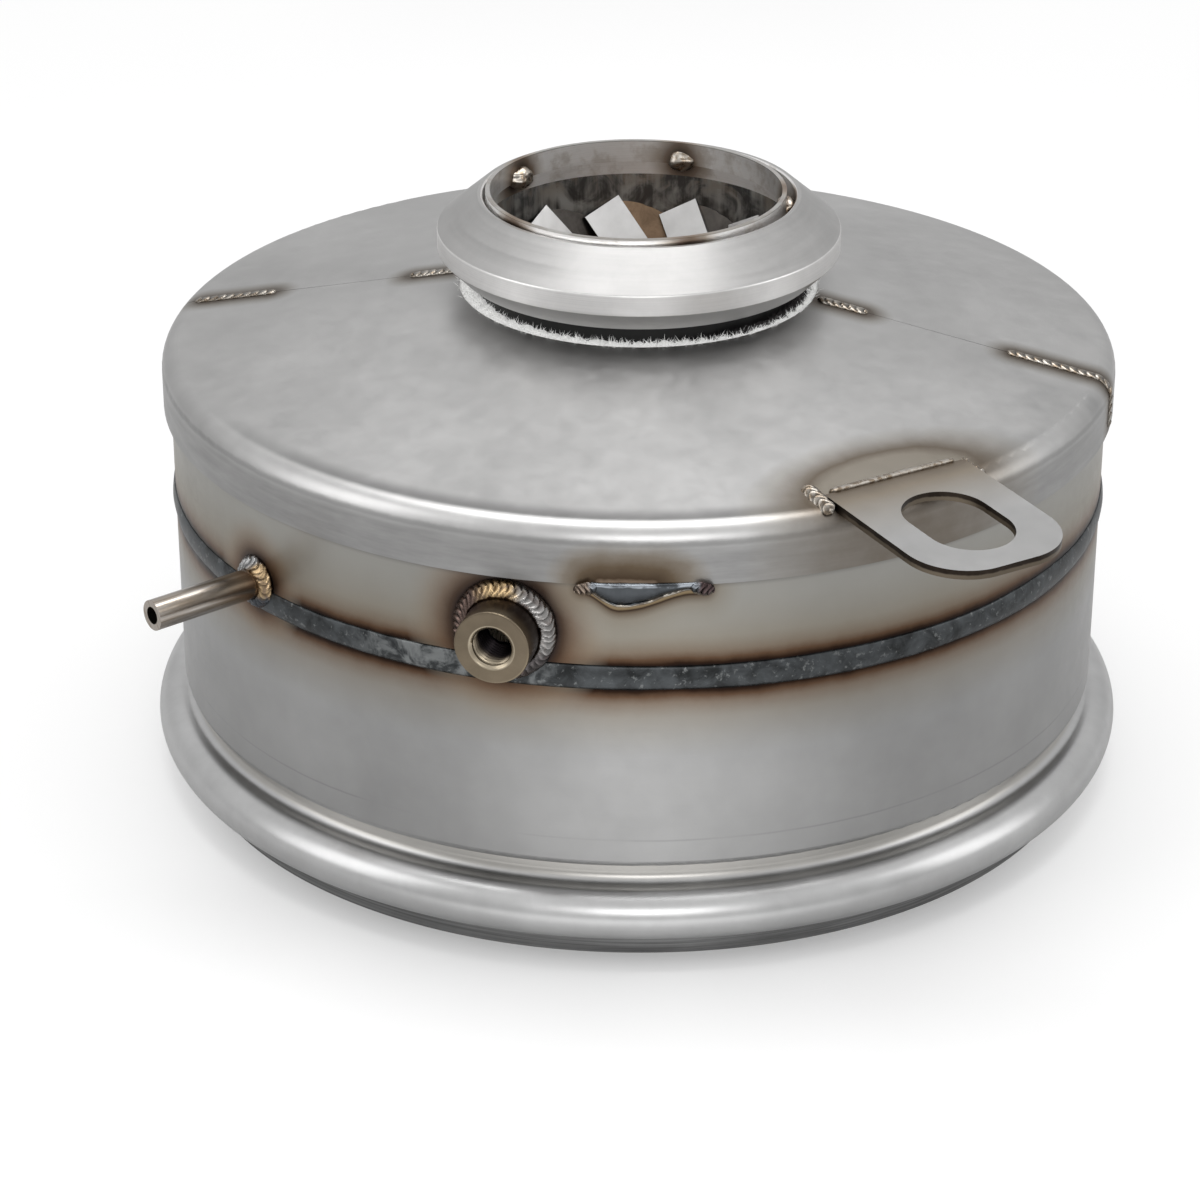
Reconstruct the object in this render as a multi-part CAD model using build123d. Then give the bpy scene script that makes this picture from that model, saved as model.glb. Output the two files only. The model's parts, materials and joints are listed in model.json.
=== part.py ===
"""Diesel oxidation catalyst: a welded stainless canister with a coned inlet flange on top.

Millimetres, +Z up along the can's axis. The origin is on the axis in the plane of the outlet lip,
which is the rim that the can stands on. Azimuths are degrees from +X, counter-clockwise from above.
"""

import os
from math import acos, cos, degrees, radians, sin, sqrt, tan

from build123d import *

# Monolith, mat and can
substrate_diameter = 304.8
substrate_length = 76.2
substrate_chamfer = 0.8
mat_thickness = 5.1
mat_length = 44.0
mat_below_top = 9.0
can_wall = 1.5
slip_clearance = 0.2
weld_fit = 0.1

# Outlet flange: rolled sheet with one bead and a short lip
outlet_sheet = 2.0
outlet_recess = 25.0
lip_radius = 157.3
bead_radius = 8.6
bead_stand = 13.4
bead_height = 16.7
sleeve_fillet = 3.6
lip_fillet = 1.6
can_neck_step = 2.0
can_neck_fillet = 2.6
can_edge_z = 31.9
sleeve_overlap = 12.0
outlet_weld_inset = 0.6
outlet_weld_rise = 2.6
outlet_weld_face = 0.75

# Retaining rings
ring_sheet = 1.4
ring_lap = 5.0
ring_leg = 8.0

# Girth seam and vertical seams
girth_below_top = 1.9
girth_width = 8.8
girth_crown = 1.2
seam_bead_width = 4.0
seam_bead_crown = 0.5
can_seam_azimuth = 80.0
shell_seam_azimuth = 62.0

# Heat cover, two halves over a blanket
cover_sheet = 2.0
cover_clearance = 0.5
cover_bend = 7.0
cover_slope = 10.55
skirt_above_top = 30.8
skirt_height = 12.5
cover_hole_gap = 6.6
left_seam_azimuth = 171.0
right_seam_azimuth = -14.8
halves_gap_angle = 0.12
shell_under_cover = 11.5
blanket_gap = 9.0
blanket_clearance = 0.1
blanket_sink = 0.4
blanket_edge_rise = 3.4

# Inner cap and inlet neck
cap_sheet = 1.5
cap_bend = 8.0
cap_rim = 4.5
neck_bore_radius = 52.5
neck_fillet = 5.0
neck_engagement = 13.6
cap_weld_leg = 3.0
fillet_weld_face = 0.58

# Inlet flange: turned ring with a 40 degree cone
flange_above_cover = 6.2
flange_foot_width = 6.5
flange_bevel_width = 7.3
flange_rim_height = 6.7
flange_cone_angle = 40.0
flange_seat_land = 1.2
flange_edge_fillet = 0.8
flange_bore_chamfer = 0.5
flange_weld_leg = 2.6

# Pilot ring in the inlet and its tack welds
pilot_ring_gap = 2.1
pilot_ring_wall = 1.5
pilot_ring_height = 7.7
pilot_stand = 1.6
pilot_shift_x = -1.0
pilot_shift_y = -0.5
tack_count = 5
tack_bite = 0.75
first_tack_azimuth = 73.0

# Swirl mixer: twelve leaning vanes over a dish
vane_count = 12
first_vane_azimuth = 97.9
vane_sheet = 1.2
vane_width = 14.2
vane_bite = 3.704
vane_lean = 31.0
vane_flare = 28.0
vane_top_below_flange = 19.5
mixer_clearance = 0.2
web_lip = 2.8
web_reach = 14.0
web_drop = 13.0
web_setback = 1.0
web_start_slope = (-0.3, 1)
web_end_slope = (-1, 0.1)
dish_wall_width = 11.5
dish_rim_gap = 6.8
dish_depth = 10.5
dish_top_below_vanes = 19.0

# Threaded sensor boss
boss_radius = 12.0
boss_bore_radius = 6.2
boss_mouth_chamfer = 0.9
boss_edge_chamfer = 0.5
boss_reach = 14.6
boss_azimuth = -104.7
boss_above_top = 12.6
boss_weld_leg = 4.6

# Pressure tube
tube_radius = 5.0
tube_bore_radius = 2.9
tube_reach = 40.0
tube_azimuth = -140.0
tube_above_top = 3.4
tube_weld_leg = 3.6

# Welds round the boss and the tube
pipe_weld_root = 2.0
pipe_weld_face = 0.62
cutter_overrun = 5.0

# Lifting lug
lug_sheet = 3.0
lug_width = 52.7
lug_reach = 62.7
lug_corner = 19.0
lug_root_inset = 11.5
lug_azimuth = -58.0
lug_tilt = 3.5
lug_proud = 1.0
slot_length = 39.4
slot_width = 28.1
slot_from_root = 33.0
lug_bead_radius = 3.0
lug_side_bead_start = -4.5
lug_side_bead_length = 9.5
lug_side_bead_sink = 1.0
lug_side_bead_offset = 2.0
lug_bead_crown = 0.7

# Weld beads on the cover
cover_bead_width = 5.5
cover_bead_crown = 1.0
outer_bead_length = 31.0
inner_bead_length = 17.0
skirt_bead_length = 11.0
stitch_azimuth = -89.2
stitch_arc = 14.6
stitch_drop = 8.6
stitch_end_radius = 4.0

# Radii worked out from the sizes above
substrate_radius = substrate_diameter / 2
can_bore = substrate_radius + mat_thickness
can_radius = can_bore + can_wall
can_neck_radius = can_radius - can_neck_step
sleeve_radius = can_neck_radius - can_wall - slip_clearance
sleeve_bore = sleeve_radius - outlet_sheet
bead_reach = sleeve_radius + bead_stand
cover_bore = can_radius + cover_clearance
cover_radius = cover_bore + cover_sheet
neck_radius = neck_bore_radius + cap_sheet
pilot_ring_radius = neck_bore_radius - pilot_ring_gap
tack_radius = pilot_ring_gap + pilot_ring_wall / 2 + tack_bite
cover_hole_radius = neck_radius + cover_hole_gap
flange_foot_radius = neck_radius + flange_foot_width
flange_rim_radius = flange_foot_radius + flange_bevel_width
cap_rim_radius = can_bore - slip_clearance
mixer_radius = neck_bore_radius - mixer_clearance
dish_rim_radius = mixer_radius - dish_rim_gap
dish_floor_radius = dish_rim_radius - dish_wall_width
lug_root_radius = cover_radius - lug_root_inset

# Levels worked out from the sizes above
substrate_top = outlet_recess + substrate_length
girth_z = substrate_top - girth_below_top
boss_z = substrate_top + boss_above_top
tube_z = substrate_top + tube_above_top
skirt_z = substrate_top + skirt_above_top
bend_z = skirt_z + skirt_height
shell_top_z = skirt_z + shell_under_cover
sleeve_top_z = can_edge_z + sleeve_overlap
can_turn = degrees(acos((can_neck_fillet - can_neck_step) / can_neck_fillet))
can_turn_z = can_edge_z + can_neck_fillet * sin(radians(can_turn))


def cover_height(radius):
    """Height of the cover's outer face at a radius on its cone."""
    slope = radians(cover_slope)
    return bend_z + cover_bend / cos(slope) + (cover_radius - cover_bend - radius) * tan(slope)


def cap_height(radius):
    """Height of the inner cap's outer face at a radius on its cone."""
    return cover_height(radius) - cover_sheet / cos(radians(cover_slope)) - blanket_gap


def cap_bend_height():
    """Height of the centre of the inner cap's bend, tangent to its cone."""
    slope = radians(cover_slope)
    return cap_height(cap_rim_radius - cap_bend) - cap_bend / cos(slope)


cap_bend_z = cap_bend_height()
cap_foot_z = cap_bend_z - cap_rim
flange_foot_z = cover_height(cover_hole_radius) + flange_above_cover
flange_rim_z = flange_foot_z + flange_bevel_width
seat_radius = neck_bore_radius + flange_bore_chamfer + flange_seat_land
flange_top_z = (
    flange_rim_z
    + flange_rim_height
    + (flange_rim_radius - seat_radius) * tan(radians(flange_cone_angle))
)
neck_top_z = flange_foot_z + neck_engagement
pilot_z = flange_top_z + pilot_stand - pilot_ring_height
vane_top_z = flange_top_z - vane_top_below_flange
vane_drop = cos(radians(vane_lean)) * cos(radians(vane_flare))
vane_length = (dish_top_below_vanes + vane_bite) / vane_drop


def polar(radius, azimuth, height):
    """Point at a radius, an azimuth in degrees and a height."""
    return Vector(radius * cos(radians(azimuth)), radius * sin(radians(azimuth)), height)


def section(*edges):
    """Face in the XZ plane closed from edges that are given as radius and height."""
    return Plane.XZ * make_face(list(edges))


def turned(face, arc=360, start=0):
    """Solid turned from a face in the XZ plane, from one azimuth over an arc."""
    return Rot(0, 0, start) * revolve(face, Axis.Z, arc)


def ring(points, arc=360, start=0):
    """Solid turned from an outline of radius and height points."""
    return turned(section(Polyline(*points, close=True)), arc, start)


def tube_solid(inner, outer, bottom, top):
    """Plain round ring between two radii and two heights."""
    return ring([(inner, bottom), (outer, bottom), (outer, top), (inner, top)])


def disc_solid(radius, bottom, top):
    """Plain round bar on the axis."""
    return Pos(0, 0, bottom) * Cylinder(radius, top - bottom, align=(Align.CENTER, Align.CENTER, Align.MIN))


def radial_plane(azimuth, height, radius):
    """Plane at a point of the shell whose normal points straight out."""
    return Plane(origin=polar(radius, azimuth, height), x_dir=(0, 0, 1), z_dir=polar(1, azimuth, 0))


def radial_rod(radius, azimuth, height, start, end):
    """Round rod along a radial line between two distances from the axis."""
    rod = Cylinder(radius, end - start, align=(Align.CENTER, Align.CENTER, Align.MIN))
    return radial_plane(azimuth, height, start) * rod


def bead_arc(half, crown, offset):
    """Height of a low weld crown at an offset from its middle."""
    circle = (half**2 + crown**2) / (2 * crown)
    return crown - circle + sqrt(circle**2 - offset**2)


def lens(width, crown):
    """Face of a weld bead's section: a flat base on the local X axis under a low arc."""
    half = width / 2
    return make_face([Line((-half, 0), (half, 0)), ThreePointArc((half, 0), (0, crown), (-half, 0))])


def bead_end(width, crown):
    """Round end of a weld bead, turned about the local Z axis."""
    half = width / 2
    middle = (half / 2, bead_arc(half, crown, half / 2))
    return turned(
        section(
            Line((0, 0), (half, 0)),
            ThreePointArc((half, 0), middle, (0, crown)),
            Line((0, crown), (0, 0)),
        )
    )


def fillet_section(corner, across, down):
    """Section of a fillet weld in a corner: two legs joined by a slightly raised face."""
    radius, height = corner
    face_middle = (radius + fillet_weld_face * across, height + fillet_weld_face * down)
    return section(
        Line((radius, height), (radius + across, height)),
        ThreePointArc((radius + across, height), face_middle, (radius, height + down)),
        Line((radius, height + down), (radius, height)),
    )


def outlet_flange():
    """Rolled ring: sleeve in the can, bead turned outward, lip that the part stands on."""
    bead_centre = bead_reach - bead_radius
    bead_top = bead_height + bead_radius
    bead_foot = bead_height - bead_radius
    sleeve_centre = (sleeve_radius + sleeve_fillet, bead_top + sleeve_fillet)
    lip_centre = (lip_radius + lip_fillet, bead_foot - lip_fillet)

    def outline(inset):
        """Outer line of the sheet, or its inner line when set in by the thickness."""
        return [
            Line((sleeve_radius - inset, sleeve_top_z), (sleeve_radius - inset, sleeve_centre[1])),
            CenterArc(sleeve_centre, sleeve_fillet + inset, 180, 90),
            Line((sleeve_centre[0], bead_top - inset), (bead_centre, bead_top - inset)),
            CenterArc((bead_centre, bead_height), bead_radius - inset, 90, -180),
            Line((bead_centre, bead_foot + inset), (lip_centre[0], bead_foot + inset)),
            CenterArc(lip_centre, lip_fillet + inset, 90, 90),
            Line((lip_radius - inset, lip_centre[1]), (lip_radius - inset, 0)),
        ]

    ends = [
        Line((sleeve_bore, sleeve_top_z), (sleeve_radius, sleeve_top_z)),
        Line((lip_radius - outlet_sheet, 0), (lip_radius, 0)),
    ]
    return turned(section(*outline(0), *outline(outlet_sheet), *ends))


def outlet_weld():
    """Ring of weld that bridges the sleeve's top edge to the can's wall."""
    foot = sleeve_bore + outlet_weld_inset
    return turned(
        section(
            Line((foot, sleeve_top_z), (can_bore, sleeve_top_z)),
            Line((can_bore, sleeve_top_z), (can_bore, sleeve_top_z + outlet_weld_rise)),
            ThreePointArc(
                (can_bore, sleeve_top_z + outlet_weld_rise),
                ((foot + can_bore) / 2, sleeve_top_z + outlet_weld_face * outlet_weld_rise),
                (foot, sleeve_top_z),
            ),
        )
    )


def substrate_can():
    """Lower shell, with its bottom edge turned in onto the flange's sleeve."""
    lip_bore = can_neck_radius - can_wall
    return turned(
        section(
            Line((can_radius, girth_z), (can_radius, can_turn_z)),
            CenterArc((can_radius - can_neck_fillet, can_turn_z), can_neck_fillet, 0, -can_turn),
            Line((can_neck_radius, can_edge_z), (lip_bore, can_edge_z)),
            Line((lip_bore, can_edge_z), (lip_bore, can_edge_z + can_wall)),
            Line((lip_bore, can_edge_z + can_wall), (can_bore, can_turn_z + can_wall)),
            Line((can_bore, can_turn_z + can_wall), (can_bore, girth_z)),
            Line((can_bore, girth_z), (can_radius, girth_z)),
        )
    )


def inlet_shell():
    """Upper shell between the girth seam and the cover, bored for the boss and the tube."""
    shell = tube_solid(can_bore, can_radius, girth_z, shell_top_z)
    start = can_bore - cutter_overrun
    end = can_radius + cutter_overrun
    shell -= radial_rod(boss_radius + weld_fit, boss_azimuth, boss_z, start, end)
    shell -= radial_rod(tube_radius + weld_fit, tube_azimuth, tube_z, start, end)
    return shell


def girth_weld():
    """Bead round the butt joint of the two shells, broken where boss and tube are welded on."""
    half = girth_width / 2
    bead = turned(
        section(
            Line((can_radius, girth_z - half), (can_radius, girth_z + half)),
            ThreePointArc(
                (can_radius, girth_z + half),
                (can_radius + girth_crown, girth_z),
                (can_radius, girth_z - half),
            ),
        )
    )
    end = can_radius + cutter_overrun
    bead -= radial_rod(boss_radius + boss_weld_leg, boss_azimuth, boss_z, can_bore, end)
    bead -= radial_rod(tube_radius + tube_weld_leg, tube_azimuth, tube_z, can_bore, end)
    return bead


def vertical_seam(azimuth, bottom, top):
    """Low bead where a rolled shell's edges meet."""
    foot = polar(can_radius, azimuth, bottom)
    plane = Plane(origin=foot, x_dir=polar(1, azimuth + 90, 0), z_dir=(0, 0, 1))
    face = Rot(0, 0, 180) * lens(seam_bead_width, seam_bead_crown)
    return plane * extrude(face, top - bottom)


def substrate():
    """Round monolith, its cells left plain."""
    block = disc_solid(substrate_radius, outlet_recess, substrate_top)
    return chamfer(block.edges().filter_by(GeomType.CIRCLE), substrate_chamfer)


def support_mat():
    """Fibre mat packed between the monolith and the can."""
    top = substrate_top - mat_below_top
    return tube_solid(substrate_radius, can_bore, top - mat_length, top)


def upper_retaining_ring():
    """Angle ring in the can that laps over the monolith's top edge."""
    outer = can_bore - slip_clearance
    seat = substrate_top + slip_clearance
    return ring(
        [
            (substrate_radius - ring_lap, seat),
            (outer - ring_sheet, seat),
            (outer - ring_sheet, seat - ring_leg),
            (outer, seat - ring_leg),
            (outer, seat + ring_sheet),
            (substrate_radius - ring_lap, seat + ring_sheet),
        ]
    )


def lower_retaining_ring():
    """Flat ring in the sleeve that laps under the monolith's bottom edge."""
    seat = outlet_recess - slip_clearance
    return tube_solid(substrate_radius - ring_lap, sleeve_bore - slip_clearance, seat - ring_sheet, seat)


def dome_lines(centre, bend, start_radius, slope, inset, foot_z):
    """Outer line of a coned cover, or its inner line when set in: cone, bend and skirt."""
    centre_radius, centre_z = centre
    angle = radians(slope)
    reach = bend - inset
    tangent = (centre_radius + reach * sin(angle), centre_z + reach * cos(angle))
    start_z = tangent[1] + (tangent[0] - start_radius) * tan(angle)
    rim = centre_radius + reach
    return [
        Line((start_radius, start_z), tangent),
        CenterArc(centre, reach, 90 - slope, slope - 90),
        Line((rim, centre_z), (rim, foot_z)),
    ]


def cover_lines(inset):
    """Line of the heat cover's sheet from the hole's edge to the skirt's foot."""
    centre = (cover_radius - cover_bend, bend_z)
    return dome_lines(centre, cover_bend, cover_hole_radius, cover_slope, inset, skirt_z)


def cover_half(start, arc):
    """Half of the heat cover between two seams."""
    outer = cover_lines(0)
    inner = cover_lines(cover_sheet)
    ends = [Line(outer[0] @ 0, inner[0] @ 0), Line(outer[-1] @ 1, inner[-1] @ 1)]
    return turned(section(*outer, *inner, *ends), arc - halves_gap_angle, start + halves_gap_angle / 2)


def cover_envelope():
    """All that lies under the cover's outer face, for fitting what is welded on it."""
    outer = cover_lines(0)
    top = outer[0] @ 0
    return turned(
        section(
            *outer,
            Line(outer[-1] @ 1, (0, skirt_z)),
            Line((0, skirt_z), (0, top.Y)),
            Line((0, top.Y), top),
        )
    )


def insulation_blanket():
    """Fibre blanket between the inner cap and the cover, open to view round the neck."""
    angle = radians(cover_slope)
    under_cover = (cover_sheet + blanket_clearance) / cos(angle)
    over_cap = blanket_clearance / cos(angle)
    bore = neck_radius + blanket_clearance
    hole = cover_hole_radius - blanket_clearance
    rim = can_bore - blanket_clearance
    land_z = cover_height(cover_hole_radius) - blanket_sink
    shoulder = cover_radius - cover_bend
    cap_centre = cap_rim_radius - cap_bend
    bend = cap_bend + blanket_clearance
    toe = neck_radius + neck_fillet + blanket_clearance
    rim_foot = cap_bend_z + sqrt(bend**2 - (rim - cap_centre) ** 2)
    tangent = (cap_centre + bend * sin(angle), cap_bend_z + bend * cos(angle))
    halfway = radians(45)
    return turned(
        section(
            Polyline(
                tangent,
                (toe, cap_height(toe) + over_cap),
                (bore, cap_height(toe) + over_cap + neck_fillet + cap_sheet),
                (bore, land_z),
                (hole, land_z),
                (hole, cover_height(hole) - under_cover),
                (shoulder, cover_height(shoulder) - under_cover),
                (rim, bend_z + blanket_edge_rise),
                (rim, rim_foot),
            ),
            ThreePointArc(
                (rim, rim_foot),
                (cap_centre + bend * sin(halfway), cap_bend_z + bend * cos(halfway)),
                tangent,
            ),
        )
    )


def inner_cap():
    """Pressed inner cap: neck, cone parallel to the cover, and a rim inside the shell."""
    angle = radians(cover_slope)
    bend_centre = (cap_rim_radius - cap_bend, cap_bend_z)
    neck_centre_radius = neck_radius + neck_fillet
    neck_centre = (neck_centre_radius, cap_height(neck_centre_radius) + neck_fillet / cos(angle))

    def outline(inset):
        """Outer line of the sheet, or its inner line when set in by the thickness."""
        throat = neck_fillet + inset
        start = neck_centre_radius - throat * sin(angle)
        return [
            Line((neck_radius - inset, neck_top_z), (neck_radius - inset, neck_centre[1])),
            CenterArc(neck_centre, throat, 180, 90 - cover_slope),
            *dome_lines(bend_centre, cap_bend, start, cover_slope, inset, cap_foot_z),
        ]

    ends = [
        Line((neck_bore_radius, neck_top_z), (neck_radius, neck_top_z)),
        Line((cap_rim_radius - cap_sheet, cap_foot_z), (cap_rim_radius, cap_foot_z)),
    ]
    return turned(section(*outline(0), *outline(cap_sheet), *ends))


def inner_cap_weld():
    """Fillet between the foot of the inner cap's rim and the shell."""
    return turned(fillet_section((can_bore, cap_foot_z), -cap_weld_leg, -cap_weld_leg))


def inlet_flange():
    """Turned ring: sealing cone, rim and a bevel down to the foot, stepped inside for the neck."""
    socket = neck_radius + weld_fit
    outline = [
        (neck_bore_radius, neck_top_z),
        (neck_bore_radius, flange_top_z - flange_bore_chamfer),
        (neck_bore_radius + flange_bore_chamfer, flange_top_z),
        (seat_radius, flange_top_z),
        (flange_rim_radius, flange_rim_z + flange_rim_height),
        (flange_rim_radius, flange_rim_z),
        (flange_foot_radius, flange_foot_z),
        (socket, flange_foot_z),
        (socket, neck_top_z),
    ]
    face = make_face(Polyline(*outline, close=True))
    rim_corners = face.vertices().filter_by(lambda corner: corner.X > flange_rim_radius - 0.01)
    return turned(Plane.XZ * fillet(rim_corners, flange_edge_fillet))


def inlet_flange_weld():
    """Fillet under the flange's foot, round the neck."""
    return turned(fillet_section((neck_radius, flange_foot_z), flange_weld_leg, -flange_weld_leg))


def pilot_ring():
    """Short ring that stands out of the flange's bore, set a little off centre."""
    inner = pilot_ring_radius - pilot_ring_wall
    body = tube_solid(inner, pilot_ring_radius, pilot_z, pilot_z + pilot_ring_height)
    return Pos(pilot_shift_x, pilot_shift_y, 0) * body


def pilot_tack(azimuth):
    """Weld nugget under the pilot ring's lower edge, against the bore."""
    nugget = Pos(*polar(pilot_ring_radius - pilot_ring_wall / 2, azimuth, pilot_z)) * Sphere(tack_radius)
    nugget &= disc_solid(neck_bore_radius, pilot_z - 2 * tack_radius, pilot_z + 2 * tack_radius)
    return nugget - pilot_ring()


def vane_plane(azimuth):
    """Plane of one vane's inner face: X runs along its top edge and Y down its length."""
    lean = radians(vane_lean)
    flare = radians(vane_flare)
    out = polar(1, azimuth, 0)
    across = polar(1, azimuth + 90, 0)
    up = Vector(0, 0, 1)
    top_edge = across * cos(lean) - (out * sin(flare) + up * cos(flare)) * sin(lean)
    facing = up * sin(flare) - out * cos(flare)
    return Plane(origin=polar(mixer_radius, azimuth, vane_top_z), x_dir=top_edge, z_dir=facing)


def vane(azimuth):
    """Flat vane, with the curved web behind it that joins it to its neighbour."""
    plane = vane_plane(azimuth)
    blade_face = Pos(vane_width / 2, vane_length / 2) * Rectangle(vane_width, vane_length)
    blade = plane * extrude(blade_face, -vane_sheet)
    web_face = make_face(
        [
            Line((vane_sheet, 0), (-web_lip, 0)),
            Spline((-web_lip, 0), (-web_reach, web_drop), tangents=[web_start_slope, web_end_slope]),
            Line((-web_reach, web_drop), (-web_reach, vane_length)),
            Line((-web_reach, vane_length), (vane_sheet, vane_length)),
            Line((vane_sheet, vane_length), (vane_sheet, 0)),
        ]
    )
    web = plane * Pos(0, 0, -web_setback) * extrude(web_face, -vane_sheet)
    return blade + web


def swirl_mixer():
    """Crown of leaning vanes that carries a closed dish in the inlet's throat."""
    rim_z = vane_top_z - dish_top_below_vanes
    floor_z = rim_z - dish_depth
    room = ring(
        [
            (0, floor_z),
            (dish_floor_radius, floor_z),
            (dish_rim_radius, rim_z),
            (mixer_radius, rim_z + mixer_radius - dish_rim_radius),
            (mixer_radius, vane_top_z + vane_sheet),
            (0, vane_top_z + vane_sheet),
        ]
    )
    dish = ring(
        [
            (0, floor_z),
            (dish_floor_radius, floor_z),
            (dish_rim_radius, rim_z),
            (dish_rim_radius - vane_sheet, rim_z + vane_sheet),
            (dish_floor_radius - vane_sheet / 2, floor_z + vane_sheet),
            (0, floor_z + vane_sheet),
        ]
    )
    vanes = [vane(first_vane_azimuth + 360 * turn / vane_count) for turn in range(vane_count)]
    crown = vanes[0].fuse(*vanes[1:]) & room
    return dish + crown


def sensor_boss():
    """Round threaded boss, shown with a plain tapping bore."""
    length = can_wall + boss_reach
    body = ring(
        [
            (boss_bore_radius, 0),
            (boss_radius, 0),
            (boss_radius, length - boss_edge_chamfer),
            (boss_radius - boss_edge_chamfer, length),
            (boss_bore_radius + boss_mouth_chamfer, length),
            (boss_bore_radius, length - boss_mouth_chamfer),
        ]
    )
    return radial_plane(boss_azimuth, boss_z, can_bore) * body


def pressure_tube():
    """Thick-walled tube end for a pressure line."""
    length = can_wall + tube_reach
    body = tube_solid(tube_bore_radius, tube_radius, 0, length)
    return radial_plane(tube_azimuth, tube_z, can_bore) * body


def round_fillet(radius, leg, azimuth, height):
    """Fillet weld round a radial pipe where it enters the shell."""
    face_middle = (radius + pipe_weld_face * leg, pipe_weld_face * leg)
    face = section(
        Line((radius, -pipe_weld_root), (radius, leg)),
        ThreePointArc((radius, leg), face_middle, (radius + leg, 0)),
        Line((radius + leg, 0), (radius + leg, -pipe_weld_root)),
        Line((radius + leg, -pipe_weld_root), (radius, -pipe_weld_root)),
    )
    weld = radial_plane(azimuth, height, can_radius) * turned(face)
    return weld - disc_solid(can_radius, height - 2 * (radius + leg), height + 2 * (radius + leg))


def lug_plane():
    """Plane of the lug's top face: X points out along the lug from its root."""
    tilt = radians(lug_tilt)
    out = polar(1, lug_azimuth, 0)
    up = Vector(0, 0, 1)
    origin = polar(lug_root_radius, lug_azimuth, cover_height(lug_root_radius) + lug_proud)
    along = out * cos(tilt) - up * sin(tilt)
    return Plane(origin=origin, x_dir=along, z_dir=up * cos(tilt) + out * sin(tilt))


def lifting_lug():
    """Slotted plate whose root is cut to sit on the cover's bend."""
    plate = Pos(lug_reach / 2, 0) * Rectangle(lug_reach, lug_width)
    outer_corners = plate.vertices().group_by(Axis.X)[-1]
    plate = fillet(outer_corners, lug_corner)
    plate -= Pos(slot_from_root, 0) * SlotOverall(slot_length, slot_width)
    return lug_plane() * extrude(plate, -lug_sheet) - cover_envelope()


def lug_root_weld():
    """Bead along the lug's root edge."""
    half = lug_width / 2 + lug_side_bead_offset - 2 * lug_bead_radius - weld_fit
    rod = Rot(90, 0, 0) * Cylinder(lug_bead_radius, 2 * half)
    ends = [Pos(0, side * half, 0) * Sphere(lug_bead_radius) for side in (-1, 1)]
    bead = lug_plane() * Pos(0, 0, lug_bead_crown - lug_bead_radius) * (rod + ends)
    return bead - cover_envelope() - lifting_lug()


def lug_side_weld(side):
    """Short bead along one side of the lug's root."""
    rod = Rot(0, 90, 0) * Cylinder(lug_bead_radius, lug_side_bead_length)
    ends = [Pos(end * lug_side_bead_length / 2, 0, 0) * Sphere(lug_bead_radius) for end in (-1, 1)]
    beside = side * (lug_width / 2 + lug_side_bead_offset)
    place = Pos(lug_side_bead_start + lug_side_bead_length / 2, beside, lug_side_bead_sink - lug_sheet)
    bead = lug_plane() * place * Rot(0, cover_slope, 0) * (rod + ends)
    return bead - cover_envelope() - lifting_lug()


def cover_bead(azimuth, start_radius, length, over_edge):
    """Radial bead on a seam of the cover, run over the bend and down the skirt where it ends there."""
    cone, bend, skirt = cover_lines(0)
    angle = radians(cover_slope)
    slope_point = (start_radius, cover_height(start_radius))
    if over_edge:
        foot = (cover_radius, bend_z - skirt_bead_length)
        path = Curve() + [Line(slope_point, cone @ 1), bend, Line((cover_radius, bend_z), foot)]
        last = (foot, (1, 0))
    else:
        end_radius = start_radius + length * cos(angle)
        end = (end_radius, cover_height(end_radius))
        path = Curve() + [Line(slope_point, end)]
        last = (end, (sin(angle), cos(angle)))
    first = (slope_point, (sin(angle), cos(angle)))
    start_plane = Plane(
        origin=(slope_point[0], 0, slope_point[1]),
        x_dir=(0, 1, 0),
        z_dir=(cos(angle), 0, -sin(angle)),
    )
    bead = sweep(start_plane * lens(cover_bead_width, cover_bead_crown), path=Plane.XZ * path)
    for (radius, height), (normal_x, normal_z) in (first, last):
        end_plane = Plane(origin=(radius, 0, height), x_dir=(0, 1, 0), z_dir=(normal_x, 0, normal_z))
        bead += end_plane * bead_end(cover_bead_width, cover_bead_crown)
    return Rot(0, 0, azimuth) * bead


def stitch_weld(azimuth):
    """Fillet that ties the foot of the skirt to the shell over a short arc, with round ends."""
    start = azimuth - stitch_arc / 2
    across = cover_radius - can_radius
    bead = turned(fillet_section((can_radius, skirt_z), across, -stitch_drop), stitch_arc, start)
    for end in (start, start + stitch_arc):
        bead += Pos(*polar(can_radius, end, skirt_z - stitch_end_radius)) * Sphere(stitch_end_radius)
    return bead - disc_solid(can_radius, skirt_z - 3 * stitch_end_radius, skirt_z + stitch_end_radius)


outer_bead_start = cover_radius - cover_bend - outer_bead_length + cover_bead_width
inner_bead_start = cover_hole_radius + cover_bead_width / 2
seam_arc = right_seam_azimuth - left_seam_azimuth + 360

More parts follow.
